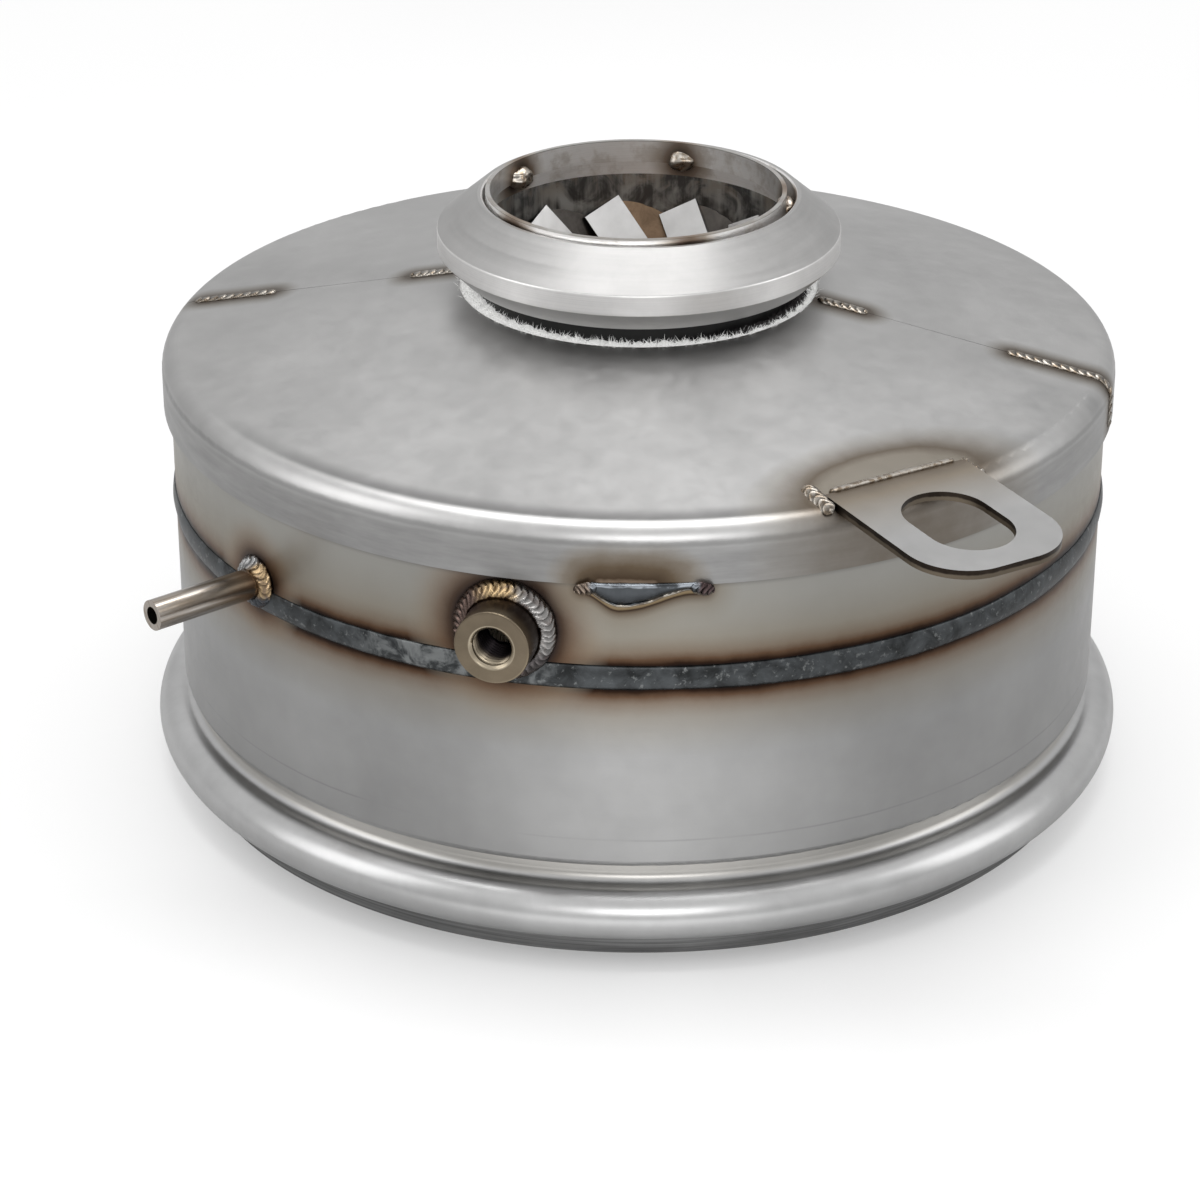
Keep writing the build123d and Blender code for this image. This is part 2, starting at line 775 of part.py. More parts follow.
PARTS = {
    "outlet_flange": outlet_flange(),
    "outlet_weld": outlet_weld(),
    "substrate_can": substrate_can(),
    "inlet_shell": inlet_shell(),
    "girth_weld": girth_weld(),
    "can_seam_weld": vertical_seam(can_seam_azimuth, can_turn_z, girth_z - girth_width / 2),
    "inlet_shell_seam_weld": vertical_seam(shell_seam_azimuth, girth_z + girth_width / 2, skirt_z),
    "substrate": substrate(),
    "support_mat": support_mat(),
    "upper_retaining_ring": upper_retaining_ring(),
    "lower_retaining_ring": lower_retaining_ring(),
    "inner_cap": inner_cap(),
    "inner_cap_weld": inner_cap_weld(),
    "insulation_blanket": insulation_blanket(),
    "front_cover": cover_half(left_seam_azimuth, seam_arc),
    "rear_cover": cover_half(right_seam_azimuth, 360 - seam_arc),
    "inlet_flange": inlet_flange(),
    "inlet_flange_weld": inlet_flange_weld(),
    "pilot_ring": pilot_ring(),
    "swirl_mixer": swirl_mixer(),
    "sensor_boss": sensor_boss(),
    "sensor_boss_weld": round_fillet(boss_radius, boss_weld_leg, boss_azimuth, boss_z),
    "pressure_tube": pressure_tube(),
    "pressure_tube_weld": round_fillet(tube_radius, tube_weld_leg, tube_azimuth, tube_z),
    "lifting_lug": lifting_lug(),
    "lug_root_weld": lug_root_weld(),
    "lug_side_weld_left": lug_side_weld(-1),
    "lug_side_weld_right": lug_side_weld(1),
    "stitch_weld_front": stitch_weld(stitch_azimuth),
    "stitch_weld_rear": stitch_weld(stitch_azimuth + 180),
}
for side, azimuth, over_edge in (("left", left_seam_azimuth, False), ("right", right_seam_azimuth, True)):
    PARTS[f"seam_weld_{side}_inner"] = cover_bead(azimuth, inner_bead_start, inner_bead_length, False)
    PARTS[f"seam_weld_{side}_outer"] = cover_bead(azimuth, outer_bead_start, outer_bead_length, over_edge)
for tack in range(tack_count):
    azimuth = first_tack_azimuth + 360 * tack / tack_count
    PARTS[f"pilot_tack_{tack + 1}"] = pilot_tack(azimuth)

os.makedirs("parts", exist_ok=True)
for node, shape in PARTS.items():
    export_step(shape, f"parts/{node}.step")
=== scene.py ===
"""Finish of a welded diesel oxidation catalyst that stands on a pale studio floor.

Metres, +Z up along the can's axis, in the shared frame. Azimuths are degrees from +X, counter-clockwise
from above. Materials work in millimetres. Sizes that the frame doesn't give are named below.
"""

import json
import math

import bmesh
import bpy
import numpy as np
from mathutils import Matrix, Vector


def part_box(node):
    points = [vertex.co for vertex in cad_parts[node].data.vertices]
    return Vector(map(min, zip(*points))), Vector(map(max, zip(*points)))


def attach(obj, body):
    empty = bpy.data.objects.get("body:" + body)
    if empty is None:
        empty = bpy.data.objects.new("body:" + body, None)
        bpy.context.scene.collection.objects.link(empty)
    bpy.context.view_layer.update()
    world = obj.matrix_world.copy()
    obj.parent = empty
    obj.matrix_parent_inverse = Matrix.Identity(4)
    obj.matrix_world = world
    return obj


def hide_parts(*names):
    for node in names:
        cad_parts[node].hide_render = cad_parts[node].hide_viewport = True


MM = 0.001
UP = np.array([0.0, 0.0, 1.0])
WHITE = (1.0, 1.0, 1.0, 1.0)

# Camera solved from the object's circles
CAMERA_PLACE = (0.0, -1.1577, 0.6098)
CAMERA_PITCH = 25.846
CAMERA_YAW = -0.640
CAMERA_ROLL = -0.047
CAMERA_LENS = 109.48
CAMERA_SENSOR = 36.0

# Cover and neck
COVER_SLOPE = 10.55
COVER_BEND = 7 * MM
COVER_HOLE = 60.6 * MM
NECK_RADIUS = 54.0 * MM

# Cover's seams: side, azimuth, and how far the outer bead runs down the skirt
SEAMS = (("left", 171.0, 0.0), ("right", -14.8, 11 * MM))
SEAM_INNER_START = 1.2 * MM
SEAM_INNER_LENGTH = 17.5 * MM

# Boss and tube
BOSS_AZIMUTH = -104.7
BOSS_WELD_LEG = 4.6 * MM
THREAD_PITCH = 1.5 * MM
THREAD_DEPTH = 0.8 * MM
THREAD_CORE = 6.2 * MM
TUBE_AZIMUTH = -140.0
TUBE_WELD_LEG = 3.6 * MM

# Lifting lug
LUG_AZIMUTH = -58.0
LUG_TILT = 3.5
LUG_WIDTH = 52.7 * MM
LUG_ROOT = 150 * MM
LUG_PROUD = 1.0 * MM
LUG_SHEET = 3.0 * MM

# Stitch welds: half their length, then the depth and lean of their belly
STITCH_AZIMUTH = -89.2
STITCH_HALF = 17.6
STITCH_LEAN = 0.42
STITCH_LEFT = 0.62
STITCH_RIGHT = 1.25
STITCH_LEAST = 3.0
STITCH_MORE = 5.4

# Swirl mixer and the tacks that hold the pilot ring
VANE_LEAN = 31.0
VANE_FLARE = 28.0
TACKS = range(1, 6)
TACK_CIRCLE = 49.4 * MM
TACK_RISE = 0.9 * MM
TACK_HALVES = (3.5, 5.0, 3.7)

# Outlet flange
FLANGE_SHEET = 2.0 * MM
FLANGE_SLEEVE = 155.3 * MM
FLANGE_LIP = 157.3 * MM
FLANGE_BEAD_HEIGHT = 16.7 * MM
BEAD_RADIUS = 8.6 * MM
SLEEVE_FILLET = 3.6 * MM
LIP_FILLET = 1.6 * MM

# Monolith
CELL_PITCH = 1.27 * MM
CELL_WALL = 0.2 * MM
CELL_DEPTH = 7 * MM
MONOLITH_SKIN = 1.0 * MM
MONOLITH_CHAMFER = 0.3 * MM

# Blanket, measured from the cover's face and the neck
BLANKET_UNDER = 2.3 * MM
BLANKET_THICK = 11 * MM
BLANKET_CLEAR = 0.2 * MM
FIBRE_LENGTH = 2.2 * MM
FIBRE_THICKNESS = 0.09 * MM
FIBRES_PER_AREA = 2.6e6

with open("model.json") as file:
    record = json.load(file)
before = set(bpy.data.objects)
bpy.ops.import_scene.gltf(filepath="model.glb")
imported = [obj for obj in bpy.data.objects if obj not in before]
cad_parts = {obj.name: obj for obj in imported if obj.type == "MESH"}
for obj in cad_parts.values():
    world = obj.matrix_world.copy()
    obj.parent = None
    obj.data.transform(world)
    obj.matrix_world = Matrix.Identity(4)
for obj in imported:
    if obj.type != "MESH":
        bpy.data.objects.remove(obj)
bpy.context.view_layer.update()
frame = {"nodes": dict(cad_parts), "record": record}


def low(node):
    """Lowest corner of a node."""
    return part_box(node)[0]


def high(node):
    """Highest corner of a node."""
    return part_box(node)[1]


def mount(name):
    """Place and axis of one of the record's mounts."""
    entry = next(item for item in frame["record"]["mounts"] if item["name"] == name)
    return Vector(entry["pos_m"]), Vector(entry["axis"])


def reach(node, axis):
    """How far a node goes along an axis through the origin."""
    return max(corner.co.dot(axis) for corner in frame["nodes"][node].data.vertices)


def out(azimuth):
    """Unit vector that points straight out at an azimuth."""
    return np.array([math.cos(math.radians(azimuth)), math.sin(math.radians(azimuth)), 0.0])


def mm(length):
    """A length as the materials use it, in millimetres."""
    return length * 1000.0


# Sizes from the frame
CAN_RADIUS = high("substrate_can").x
GIRTH_LOW = low("girth_weld").z
GIRTH_HIGH = high("girth_weld").z
GIRTH_MIDDLE = (GIRTH_LOW + GIRTH_HIGH) / 2
GIRTH_HALF = (GIRTH_HIGH - GIRTH_LOW) / 2
GIRTH_CROWN = high("girth_weld").x - CAN_RADIUS
COVER_RADIUS = -low("front_cover").y
SKIRT_FOOT = low("front_cover").z
COVER_TOP = high("front_cover").z
BOSS_PLACE, BOSS_AXIS = mount("sensor_boss_thread")
BOSS_HEIGHT = BOSS_PLACE.z
BOSS_RADIUS = (high("sensor_boss").z - low("sensor_boss").z) / 2
BOSS_END = reach("sensor_boss", BOSS_AXIS)
TUBE_HEIGHT = mount("pressure_tube_end")[0].z
TUBE_RADIUS = (high("pressure_tube").z - low("pressure_tube").z) / 2
PILOT_LOW = low("pilot_ring").z
PILOT_HIGH = high("pilot_ring").z
MIXER_RADIUS = high("swirl_mixer").x
MIXER_HIGH = high("swirl_mixer").z
BEND_HEIGHT = COVER_TOP - COVER_BEND / math.cos(math.radians(COVER_SLOPE)) - (
    COVER_RADIUS - COVER_BEND - COVER_HOLE
) * math.tan(math.radians(COVER_SLOPE))


def cover_height(radius):
    """Height of the cover's outer face on its cone."""
    slope = math.radians(COVER_SLOPE)
    flat = COVER_RADIUS - COVER_BEND - radius
    return BEND_HEIGHT + COVER_BEND / math.cos(slope) + flat * math.tan(slope)


class Value:
    """A socket of a node tree. Arithmetic on it adds Math nodes."""

    def __init__(self, graph, socket):
        self.graph = graph
        self.socket = socket

    def maths(self, operation, first, second=0.0):
        return self.graph.add("ShaderNodeMath", {"operation": operation}, {0: first, 1: second})

    def __add__(self, other):
        return self.maths("ADD", self, other)

    __radd__ = __add__

    def __sub__(self, other):
        return self.maths("SUBTRACT", self, other)

    def __rsub__(self, other):
        return self.maths("SUBTRACT", other, self)

    def __mul__(self, other):
        return self.maths("MULTIPLY", self, other)

    __rmul__ = __mul__

    def __truediv__(self, other):
        return self.maths("DIVIDE", self, other)

    def __neg__(self):
        return self.maths("MULTIPLY", self, -1.0)

    def __abs__(self):
        return self.maths("ABSOLUTE", self)

    def least(self, other):
        return self.maths("MINIMUM", self, other)

    def most(self, other):
        return self.maths("MAXIMUM", self, other)

    def root(self):
        return self.maths("SQRT", self)

    def sign(self):
        return self.maths("SIGN", self)

    def floor(self):
        return self.maths("FLOOR", self)


class Graph:
    """Adds nodes to one tree, for a material or for geometry."""

    def __init__(self, tree):
        self.tree = tree

    def add(self, kind, settings=None, inputs=None, output=0):
        """One node of a type, with its settings first and then the values or links of its sockets."""
        node = self.tree.nodes.new(kind)
        for name, setting in (settings or {}).items():
            if name == "stops":
                self.set_stops(node.color_ramp, setting)
            else:
                setattr(node, name, setting)
        for key, entry in (inputs or {}).items():
            if isinstance(entry, Value):
                self.tree.links.new(entry.socket, node.inputs[key])
            else:
                node.inputs[key].default_value = entry
        if output is None:
            return node
        return Value(self, node.outputs[output])

    def sockets(self, kind, *names, inputs=None):
        """Several outputs of one node."""
        node = self.add(kind, inputs=inputs, output=None)
        return [Value(self, node.outputs[name]) for name in names]

    def split(self, vector):
        """The three parts of a vector."""
        return self.sockets("ShaderNodeSeparateXYZ", 0, 1, 2, inputs={0: vector})

    def vector(self, x, y, z):
        return self.add("ShaderNodeCombineXYZ", inputs={0: x, 1: y, 2: z})

    def end(self, kind, value):
        """Closes the tree with its output node."""
        self.tree.links.new(value.socket, self.tree.nodes.new(kind).inputs[0])

    @staticmethod
    def set_stops(ramp, stops):
        """Places a ramp's stops, each a position and a colour with its alpha."""
        while len(ramp.elements) < len(stops):
            ramp.elements.new(1.0)
        for element, (position, colour) in zip(ramp.elements, stops):
            element.position = position
            element.color = colour


class Paint(Graph):
    """A material's tree, with the few helpers that this object's finishes share."""

    def __init__(self, name):
        self.material = bpy.data.materials.new(name)
        self.material.use_nodes = True
        self.material.node_tree.nodes.clear()
        super().__init__(self.material.node_tree)
        place = self.add("ShaderNodeTexCoord", output="Object")
        self.x, self.y, self.z = [axis * 1000.0 for axis in self.split(place)]
        self.radius = length(self.x, self.y)

    def noise(self, size, detail=4.0, roughness=0.6, distortion=0.0):
        """Noise from 0 to 1 whose features are about a size in millimetres."""
        place = self.vector(self.x, self.y, self.z)
        inputs = {"Vector": place, "Scale": 1.0 / size, "Detail": detail, "Roughness": roughness}
        inputs["Distortion"] = distortion
        return self.add("ShaderNodeTexNoise", inputs=inputs)

    def lines(self, across, along, spacing, stretch):
        """Noise in lines: fine across and long along, for turned or drawn metal."""
        place = self.vector(across / spacing, along / stretch, 0.0)
        inputs = {"Vector": place, "Scale": 1.0, "Detail": 4.0, "Roughness": 0.6}
        return self.add("ShaderNodeTexNoise", inputs=inputs)

    def rise(self, value, start, end):
        """0 before start and 1 after end, with a smooth step between."""
        settings = {"interpolation_type": "SMOOTHSTEP"}
        return self.add("ShaderNodeMapRange", settings, {0: value, 1: start, 2: end, 3: 0.0, 4: 1.0})

    def scaled(self, value, start, end, first, last):
        """A straight map from one range to another, clamped."""
        return self.add("ShaderNodeMapRange", None, {0: value, 1: start, 2: end, 3: first, 4: last})

    def spread(self, noise, first, last):
        """The range that a noise usually covers, mapped to another."""
        return self.scaled(noise, 0.3, 0.7, first, last)

    def blend(self, factor, first, second):
        """Colour between two colours."""
        inputs = {0: factor, 6: first, 7: second}
        return self.add("ShaderNodeMix", {"data_type": "RGBA"}, inputs, output=2)

    def shade(self, colour, amount):
        """Colour times an amount that varies over the surface."""
        level = self.add("ShaderNodeCombineColor", inputs={0: amount, 1: amount, 2: amount})
        settings = {"data_type": "RGBA", "blend_type": "MULTIPLY"}
        return self.add("ShaderNodeMix", settings, {0: 1.0, 6: colour, 7: level}, output=2)

    def stain(self, colour, distance, span, stops):
        """Colour under a stain that a ramp gives by distance in millimetres; alpha is its strength."""
        ramp = self.add("ShaderNodeValToRGB", {"stops": stops}, {0: distance / span}, output=None)
        return self.blend(Value(self, ramp.outputs[1]), colour, Value(self, ramp.outputs[0]))

    def crest(self):
        """How near a weld's ripples are to their crests, kept on its mesh."""
        return self.add("ShaderNodeAttribute", {"attribute_name": "crest"}, output=2)

    def facing(self):
        """The three parts of the true normal."""
        return self.split(self.add("ShaderNodeNewGeometry", output="True Normal"))

    def turn(self):
        """Azimuth in radians."""
        return self.y.maths("ARCTAN2", self.y, self.x)

    def along(self, azimuth):
        """Distance out and distance sideways at an azimuth, in millimetres."""
        direction = out(azimuth)
        outward = self.x * direction[0] + self.y * direction[1]
        sideways = self.y * direction[0] - self.x * direction[1]
        return outward, sideways

    def from_stretch(self, azimuth, start, end):
        """Distance from a radial stretch between two radii in millimetres."""
        outward, sideways = self.along(azimuth)
        beyond = (start - outward).most(outward - end).most(0.0)
        return length(beyond, sideways)

    def bump(self, height, distance, strength=1.0, under=None):
        inputs = {"Height": height, "Distance": distance, "Strength": strength}
        if under is not None:
            inputs["Normal"] = under
        return self.add("ShaderNodeBump", inputs=inputs)

    def finish(self, colour, roughness, metallic=1.0, normal=None, **fixed):
        """Closes the tree with a Principled shader and gives the material."""
        inputs = {"Base Color": colour, "Roughness": roughness, "Metallic": metallic, **fixed}
        if normal is not None:
            inputs["Normal"] = normal
        self.end("ShaderNodeOutputMaterial", self.add("ShaderNodeBsdfPrincipled", inputs=inputs))
        return self.material


def length(*parts):
    """Length of a vector of these parts."""
    total = parts[0] * parts[0]
    for part in parts[1:]:
        total = total + part * part
    return total.root()


def ragged(noise, amount):
    """Noise as an uneven shift to either side."""
    return (noise - 0.5) * amount


def grey(level, warmth=0.0):
    """Neutral colour of a level, a little warmer where warmth is above 0."""
    return (level * (1 + warmth), level, level * (1 - warmth), 1.0)


def stitch_drop(sideways):
    """How far the stitch weld hangs below the skirt at a place across it, in millimetres."""
    share = sideways / STITCH_HALF + STITCH_LEAN
    bell = (share / STITCH_RIGHT).most(share / -STITCH_LEFT).least(1.0)
    bump = 1.0 - bell * bell
    return STITCH_LEAST + STITCH_MORE * bump * bump


# Heat tints by distance from a weld: position along the ramp, then colour and strength
TACK_TINT = [
    (0.0, (0.05, 0.035, 0.025, 1.0)),
    (0.3, (0.2, 0.13, 0.08, 0.85)),
    (0.6, (0.36, 0.28, 0.2, 0.5)),
    (1.0, (0.5, 0.45, 0.38, 0.0)),
]
SEAM_TINT = [
    (0.0, (0.07, 0.055, 0.042, 1.0)),
    (0.32, (0.1, 0.078, 0.058, 0.95)),
    (0.56, (0.17, 0.145, 0.115, 0.65)),
    (1.0, (0.30, 0.28, 0.25, 0.0)),
]
GIRTH_TINT = [
    (0.0, (0.010, 0.008, 0.008, 1.0)),
    (0.045, (0.030, 0.016, 0.010, 1.0)),
    (0.11, (0.105, 0.055, 0.028, 0.95)),
    (0.21, (0.19, 0.135, 0.088, 0.8)),
    (0.42, (0.25, 0.21, 0.15, 0.5)),
    (1.0, (0.28, 0.26, 0.21, 0.0)),
]
PIPE_TINT = [
    (0.0, (0.03, 0.022, 0.02, 1.0)),
    (0.12, (0.07, 0.042, 0.028, 0.95)),
    (0.3, (0.16, 0.105, 0.07, 0.8)),
    (0.6, (0.27, 0.215, 0.16, 0.5)),
    (1.0, (0.34, 0.31, 0.26, 0.0)),
]
STITCH_TINT = [
    (0.0, (0.27, 0.205, 0.125, 1.0)),
    (0.06, (0.25, 0.185, 0.11, 1.0)),
    (0.11, (0.035, 0.022, 0.016, 1.0)),
    (0.17, (0.12, 0.085, 0.055, 0.9)),
    (0.4, (0.24, 0.2, 0.145, 0.5)),
    (1.0, (0.28, 0.26, 0.21, 0.0)),
]
SKIRT_TINT = [
    (0.0, (0.24, 0.17, 0.115, 0.9)),
    (0.1, (0.062, 0.039, 0.022, 0.97)),
    (0.36, (0.12, 0.083, 0.048, 0.93)),
    (0.64, (0.19, 0.147, 0.098, 0.7)),
    (1.0, (0.32, 0.28, 0.215, 0.0)),
]
LUG_TINT = [
    (0.0, (0.25, 0.215, 0.165, 0.75)),
    (0.45, (0.23, 0.195, 0.145, 0.8)),
    (0.58, (0.13, 0.1, 0.07, 0.92)),
    (0.66, (0.16, 0.128, 0.092, 0.75)),
    (1.0, (0.34, 0.31, 0.26, 0.0)),
]
LUG_ROOT_TINT = [
    (0.0, (0.14, 0.11, 0.08, 0.95)),
    (0.2, (0.27, 0.225, 0.17, 0.9)),
    (1.0, (0.42, 0.4, 0.37, 0.0)),
]


def satin(paint, tone, warmth, spot_size=55.0, depth=0.1):
    """Base colour of satin sheet, with the broad clouds and the small marks that vary it."""
    cloud = paint.noise(spot_size)
    mark = paint.noise(7.0, detail=5.0, roughness=0.65, distortion=0.6)
    level = paint.spread(cloud, 1 - depth, 1 + depth) * paint.spread(mark, 0.97, 1.03)
    return paint.shade(grey(tone, warmth), level), cloud, mark


def bend_light_and_skirt_shade(paint, colour, mark):
    """The cover's bend with painted shade above and a painted highlight below at the front, painted shade on
    its skirt streaked by drawn marks, and a painted shade line along the fold between them.
    """
    bend = mm(BEND_HEIGHT)
    front = paint.rise(paint.y, -60.0, -140.0)
    skirt = paint.rise(paint.z, bend + 3.0, bend - 2.0)
    bend_shade = paint.rise(paint.radius, 149.0, 155.0) * (1.0 - skirt) * front
    bend_highlight = paint.rise(paint.radius, 155.0, 157.5) * bend_shade
    drawn = paint.lines(paint.z, paint.turn() * 162.0, spacing=3.0, stretch=26.0)
    skirt_shade_and_drawn_marks = paint.spread(drawn, 0.36, 0.2)
    # Painted shade on the skirt, streaked by drawn marks; painted shade on the upper bend and a painted
    # highlight on the lower bend, at the front
    colour = paint.shade(colour, 1.0 - skirt * skirt_shade_and_drawn_marks - bend_shade * 0.46 + bend_highlight * 0.62)
    # Painted shade along the fold between the bend and the skirt
    fold_shade = paint.rise(abs(paint.z - bend - 1.2 + ragged(mark, 1.2)), 1.4, 0.2)
    return paint.shade(colour, 1.0 - fold_shade * paint.rise(paint.radius, 159.0, 161.0) * 0.22)


def cover_stains(paint, colour):
    """Heat tints on the cover, beside its seams, the lug and the stitch welds."""
    wobble = ragged(paint.noise(9.0), 5.0)
    for _, azimuth, fall in SEAMS:
        foot = mm(fall)
        below = (mm(BEND_HEIGHT) + 2.0 - foot - paint.z).most(0.0)
        for start, end in ((64.0, 77.0), (129.0, 152.0 + foot)):
            distance = length(paint.from_stretch(azimuth, start, end), below) + wobble * 0.4
            colour = paint.stain(colour, distance.most(0.0), 11.0, SEAM_TINT)
    outward, sideways = paint.along(LUG_AZIMUTH)
    inward = ((mm(LUG_ROOT) - outward) / 18.0).most(0.0)
    beyond = (outward - mm(LUG_ROOT)).most(0.0) / 12.0
    colour = paint.stain(colour, length(inward, beyond, sideways / 39.0) + wobble * 0.03, 1.45, LUG_TINT)
    for azimuth in (STITCH_AZIMUTH, STITCH_AZIMUTH + 180):
        outward, sideways = paint.along(azimuth)
        beyond = (abs(sideways + 5.0) - 8.0).most(0.0) / 18.0
        above = (paint.z - mm(SKIRT_FOOT) - 1.0).most(0.0) / 13.5
        behind = paint.rise(outward, 100.0, 60.0) * 100.0
        distance = length(beyond, above) + behind + wobble * 0.05
        colour = paint.stain(colour, distance.most(0.0), 1.0, SKIRT_TINT)
    return colour


def cover_steel():
    """Pressed cover: satin, with painted light and shade on its bend and skirt, drawn marks on its skirt, and
    a cool patch on its right.
    """
    paint = Paint("cover_steel")
    colour, _, mark = satin(paint, tone=0.48, warmth=0.008)
    colour = bend_light_and_skirt_shade(paint, colour, mark)
    cool = paint.rise(paint.noise(34.0, roughness=0.55), 0.42, 0.66) * paint.rise(paint.x, 95.0, 135.0)
    colour = paint.blend(cool * paint.rise(paint.y, 20.0, -20.0) * 0.3, colour, (0.2, 0.205, 0.21, 1.0))
    colour = cover_stains(paint, colour)
    grain = paint.lines(paint.radius + paint.z, paint.x + paint.y, spacing=0.35, stretch=14.0)
    roughness = paint.spread(mark, 0.34, 0.42) + ragged(grain, 0.08)
    dents = paint.bump(paint.noise(38.0, detail=2.0, roughness=0.5), 0.45 * MM, strength=0.5)
    return paint.finish(colour, roughness, normal=paint.bump(grain, 0.01 * MM, strength=0.5, under=dents))


def shell_stains(paint, colour):
    """Heat tints on the shells, beside the girth weld, the boss, the tube and the stitch welds."""
    wobble = ragged(paint.noise(14.0), 2.4)
    edge = abs(paint.z - mm(GIRTH_MIDDLE)) - mm(GIRTH_HALF) + wobble + 0.6
    colour = paint.stain(colour, edge.most(0.0), 24.0, GIRTH_TINT)
    for azimuth, height, size, span in (
        (BOSS_AZIMUTH, BOSS_HEIGHT, BOSS_RADIUS + BOSS_WELD_LEG, 17.0),
        (TUBE_AZIMUTH, TUBE_HEIGHT, TUBE_RADIUS + TUBE_WELD_LEG, 14.0),
    ):
        outward, sideways = paint.along(azimuth)
        behind = paint.rise(outward, 60.0, 0.0) * 200.0
        distance = length(sideways, paint.z - mm(height)) - mm(size) + behind + wobble
        colour = paint.stain(colour, distance.most(0.0), span, PIPE_TINT)
    for azimuth in (STITCH_AZIMUTH, STITCH_AZIMUTH + 180):
        outward, sideways = paint.along(azimuth)
        beyond = (abs(sideways) - STITCH_HALF - 1.0).most(0.0)
        below = (mm(SKIRT_FOOT) - stitch_drop(sideways) - paint.z).most(0.0)
        behind = paint.rise(outward, 100.0, 60.0) * 100.0
        distance = length(beyond, below) + behind + wobble * 0.3
        colour = paint.stain(colour, distance.most(0.0), 12.0, STITCH_TINT)
    return colour


def shell_steel():
    """Rolled shells: satin, warmer above the girth weld, with painted shadow just under the skirt's edge and
    a faint scribed line low down.
    """
    paint = Paint("shell_steel")
    colour, cloud, mark = satin(paint, tone=0.35, warmth=0.004, spot_size=70.0, depth=0.13)
    above = paint.rise(paint.z, mm(GIRTH_MIDDLE) - 1, mm(GIRTH_MIDDLE) + 1)
    colour = paint.blend(above * 0.5, colour, (0.35, 0.335, 0.29, 1.0))
    colour = shell_stains(paint, colour)
    skirt_shadow = paint.rise(paint.z, mm(SKIRT_FOOT) - 3.0, mm(SKIRT_FOOT))
    # Painted shadow on the shell just under the skirt's edge
    colour = paint.blend(skirt_shadow * 0.6, colour, grey(0.08))
    scribe = paint.rise(abs(paint.z - 42.0 + ragged(cloud, 1.5)), 0.5, 0.1) * paint.rise(cloud, 0.4, 0.6)
    colour = paint.blend(scribe * 0.3, colour, grey(0.18))
    grain = paint.lines(paint.z, paint.x + paint.y, spacing=0.4, stretch=25.0)
    roughness = paint.spread(mark, 0.33, 0.43) + ragged(grain, 0.08)
    dents = paint.bump(paint.noise(60.0, detail=2.0, roughness=0.5), 0.5 * MM, strength=0.5)
    return paint.finish(colour, roughness, normal=paint.bump(grain, 0.01 * MM, strength=0.5, under=dents))


def flange_steel():
    """Rolled outlet flange: smooth, with a darker ringed lip and a tan sleeve."""
    paint = Paint("flange_steel")
    colour, cloud, _ = satin(paint, tone=0.54, warmth=0.0, spot_size=40.0, depth=0.1)
    lip = paint.rise(paint.z, 8.4, 7.0)
    rings = paint.lines(paint.z, paint.x + paint.y, spacing=0.7, stretch=60.0)
    colour = paint.shade(colour, 1.0 - lip * paint.scaled(rings, 0.35, 0.65, 0.3, 0.62))
    sleeve = paint.rise(paint.z, 25.8, 27.2)
    colour = paint.blend(sleeve * 0.5, colour, (0.36, 0.335, 0.29, 1.0))
    normal = paint.bump(paint.noise(40.0, detail=2.0, roughness=0.55), 0.2 * MM, strength=0.5)
    return paint.finish(colour, paint.spread(cloud, 0.29, 0.37), normal=normal)


def turned_steel():
    """Turned inlet flange and pilot ring: fine tool rings, a painted highlight on the rim, painted light in
    the bore and stains beside the tacks.
    """
    paint = Paint("turned_steel")
    colour, cloud, _ = satin(paint, tone=0.46, warmth=0.012, spot_size=25.0, depth=0.05)
    rim = paint.rise(paint.radius, 67.45, 67.75)
    bore = paint.rise(paint.radius, 53.2, 52.8)
    stained = paint.rise(paint.noise(9.0), 0.5, 0.68) * bore
    # Painted highlight on the rim and painted light that brightens the bore
    colour = paint.shade(colour, 1.0 + rim * 0.8 + bore * 1.1)
    colour = paint.blend(stained * 0.35, colour, (0.34, 0.27, 0.19, 1.0))
    ring_top = paint.rise(paint.z, mm(PILOT_HIGH) - 0.5, mm(PILOT_HIGH) - 0.1) * bore
    browner = paint.scaled(paint.y, -50.0, 50.0, 0.12, -0.12)
    browned = paint.rise(paint.noise(12.0) + browner, 0.45, 0.6)
    dull = paint.blend(browned * 0.6, (0.42, 0.41, 0.39, 1.0), (0.2, 0.155, 0.115, 1.0))
    colour = paint.blend(ring_top * 0.8, colour, dull)
    for number in TACKS:
        bottom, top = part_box(f"pilot_tack_{number}")
        nugget = (bottom + top) * 500.0
        below = (paint.z - mm(PILOT_LOW)) * 0.8
        distance = length(paint.x - nugget.x, paint.y - nugget.y, below) + ragged(cloud, 4.0)
        colour = paint.stain(colour, (distance - 3.4).most(0.0) + (1.0 - bore) * 100.0, 9.0, TACK_TINT)
    rings = paint.lines(paint.z + paint.radius, paint.x + paint.y, spacing=0.3, stretch=60.0)
    colour = paint.shade(colour, paint.spread(rings, 0.94, 1.05))
    normal = paint.bump(rings, 0.02 * MM, strength=0.6)
    return paint.finish(colour, paint.spread(rings, 0.33, 0.42), normal=normal)


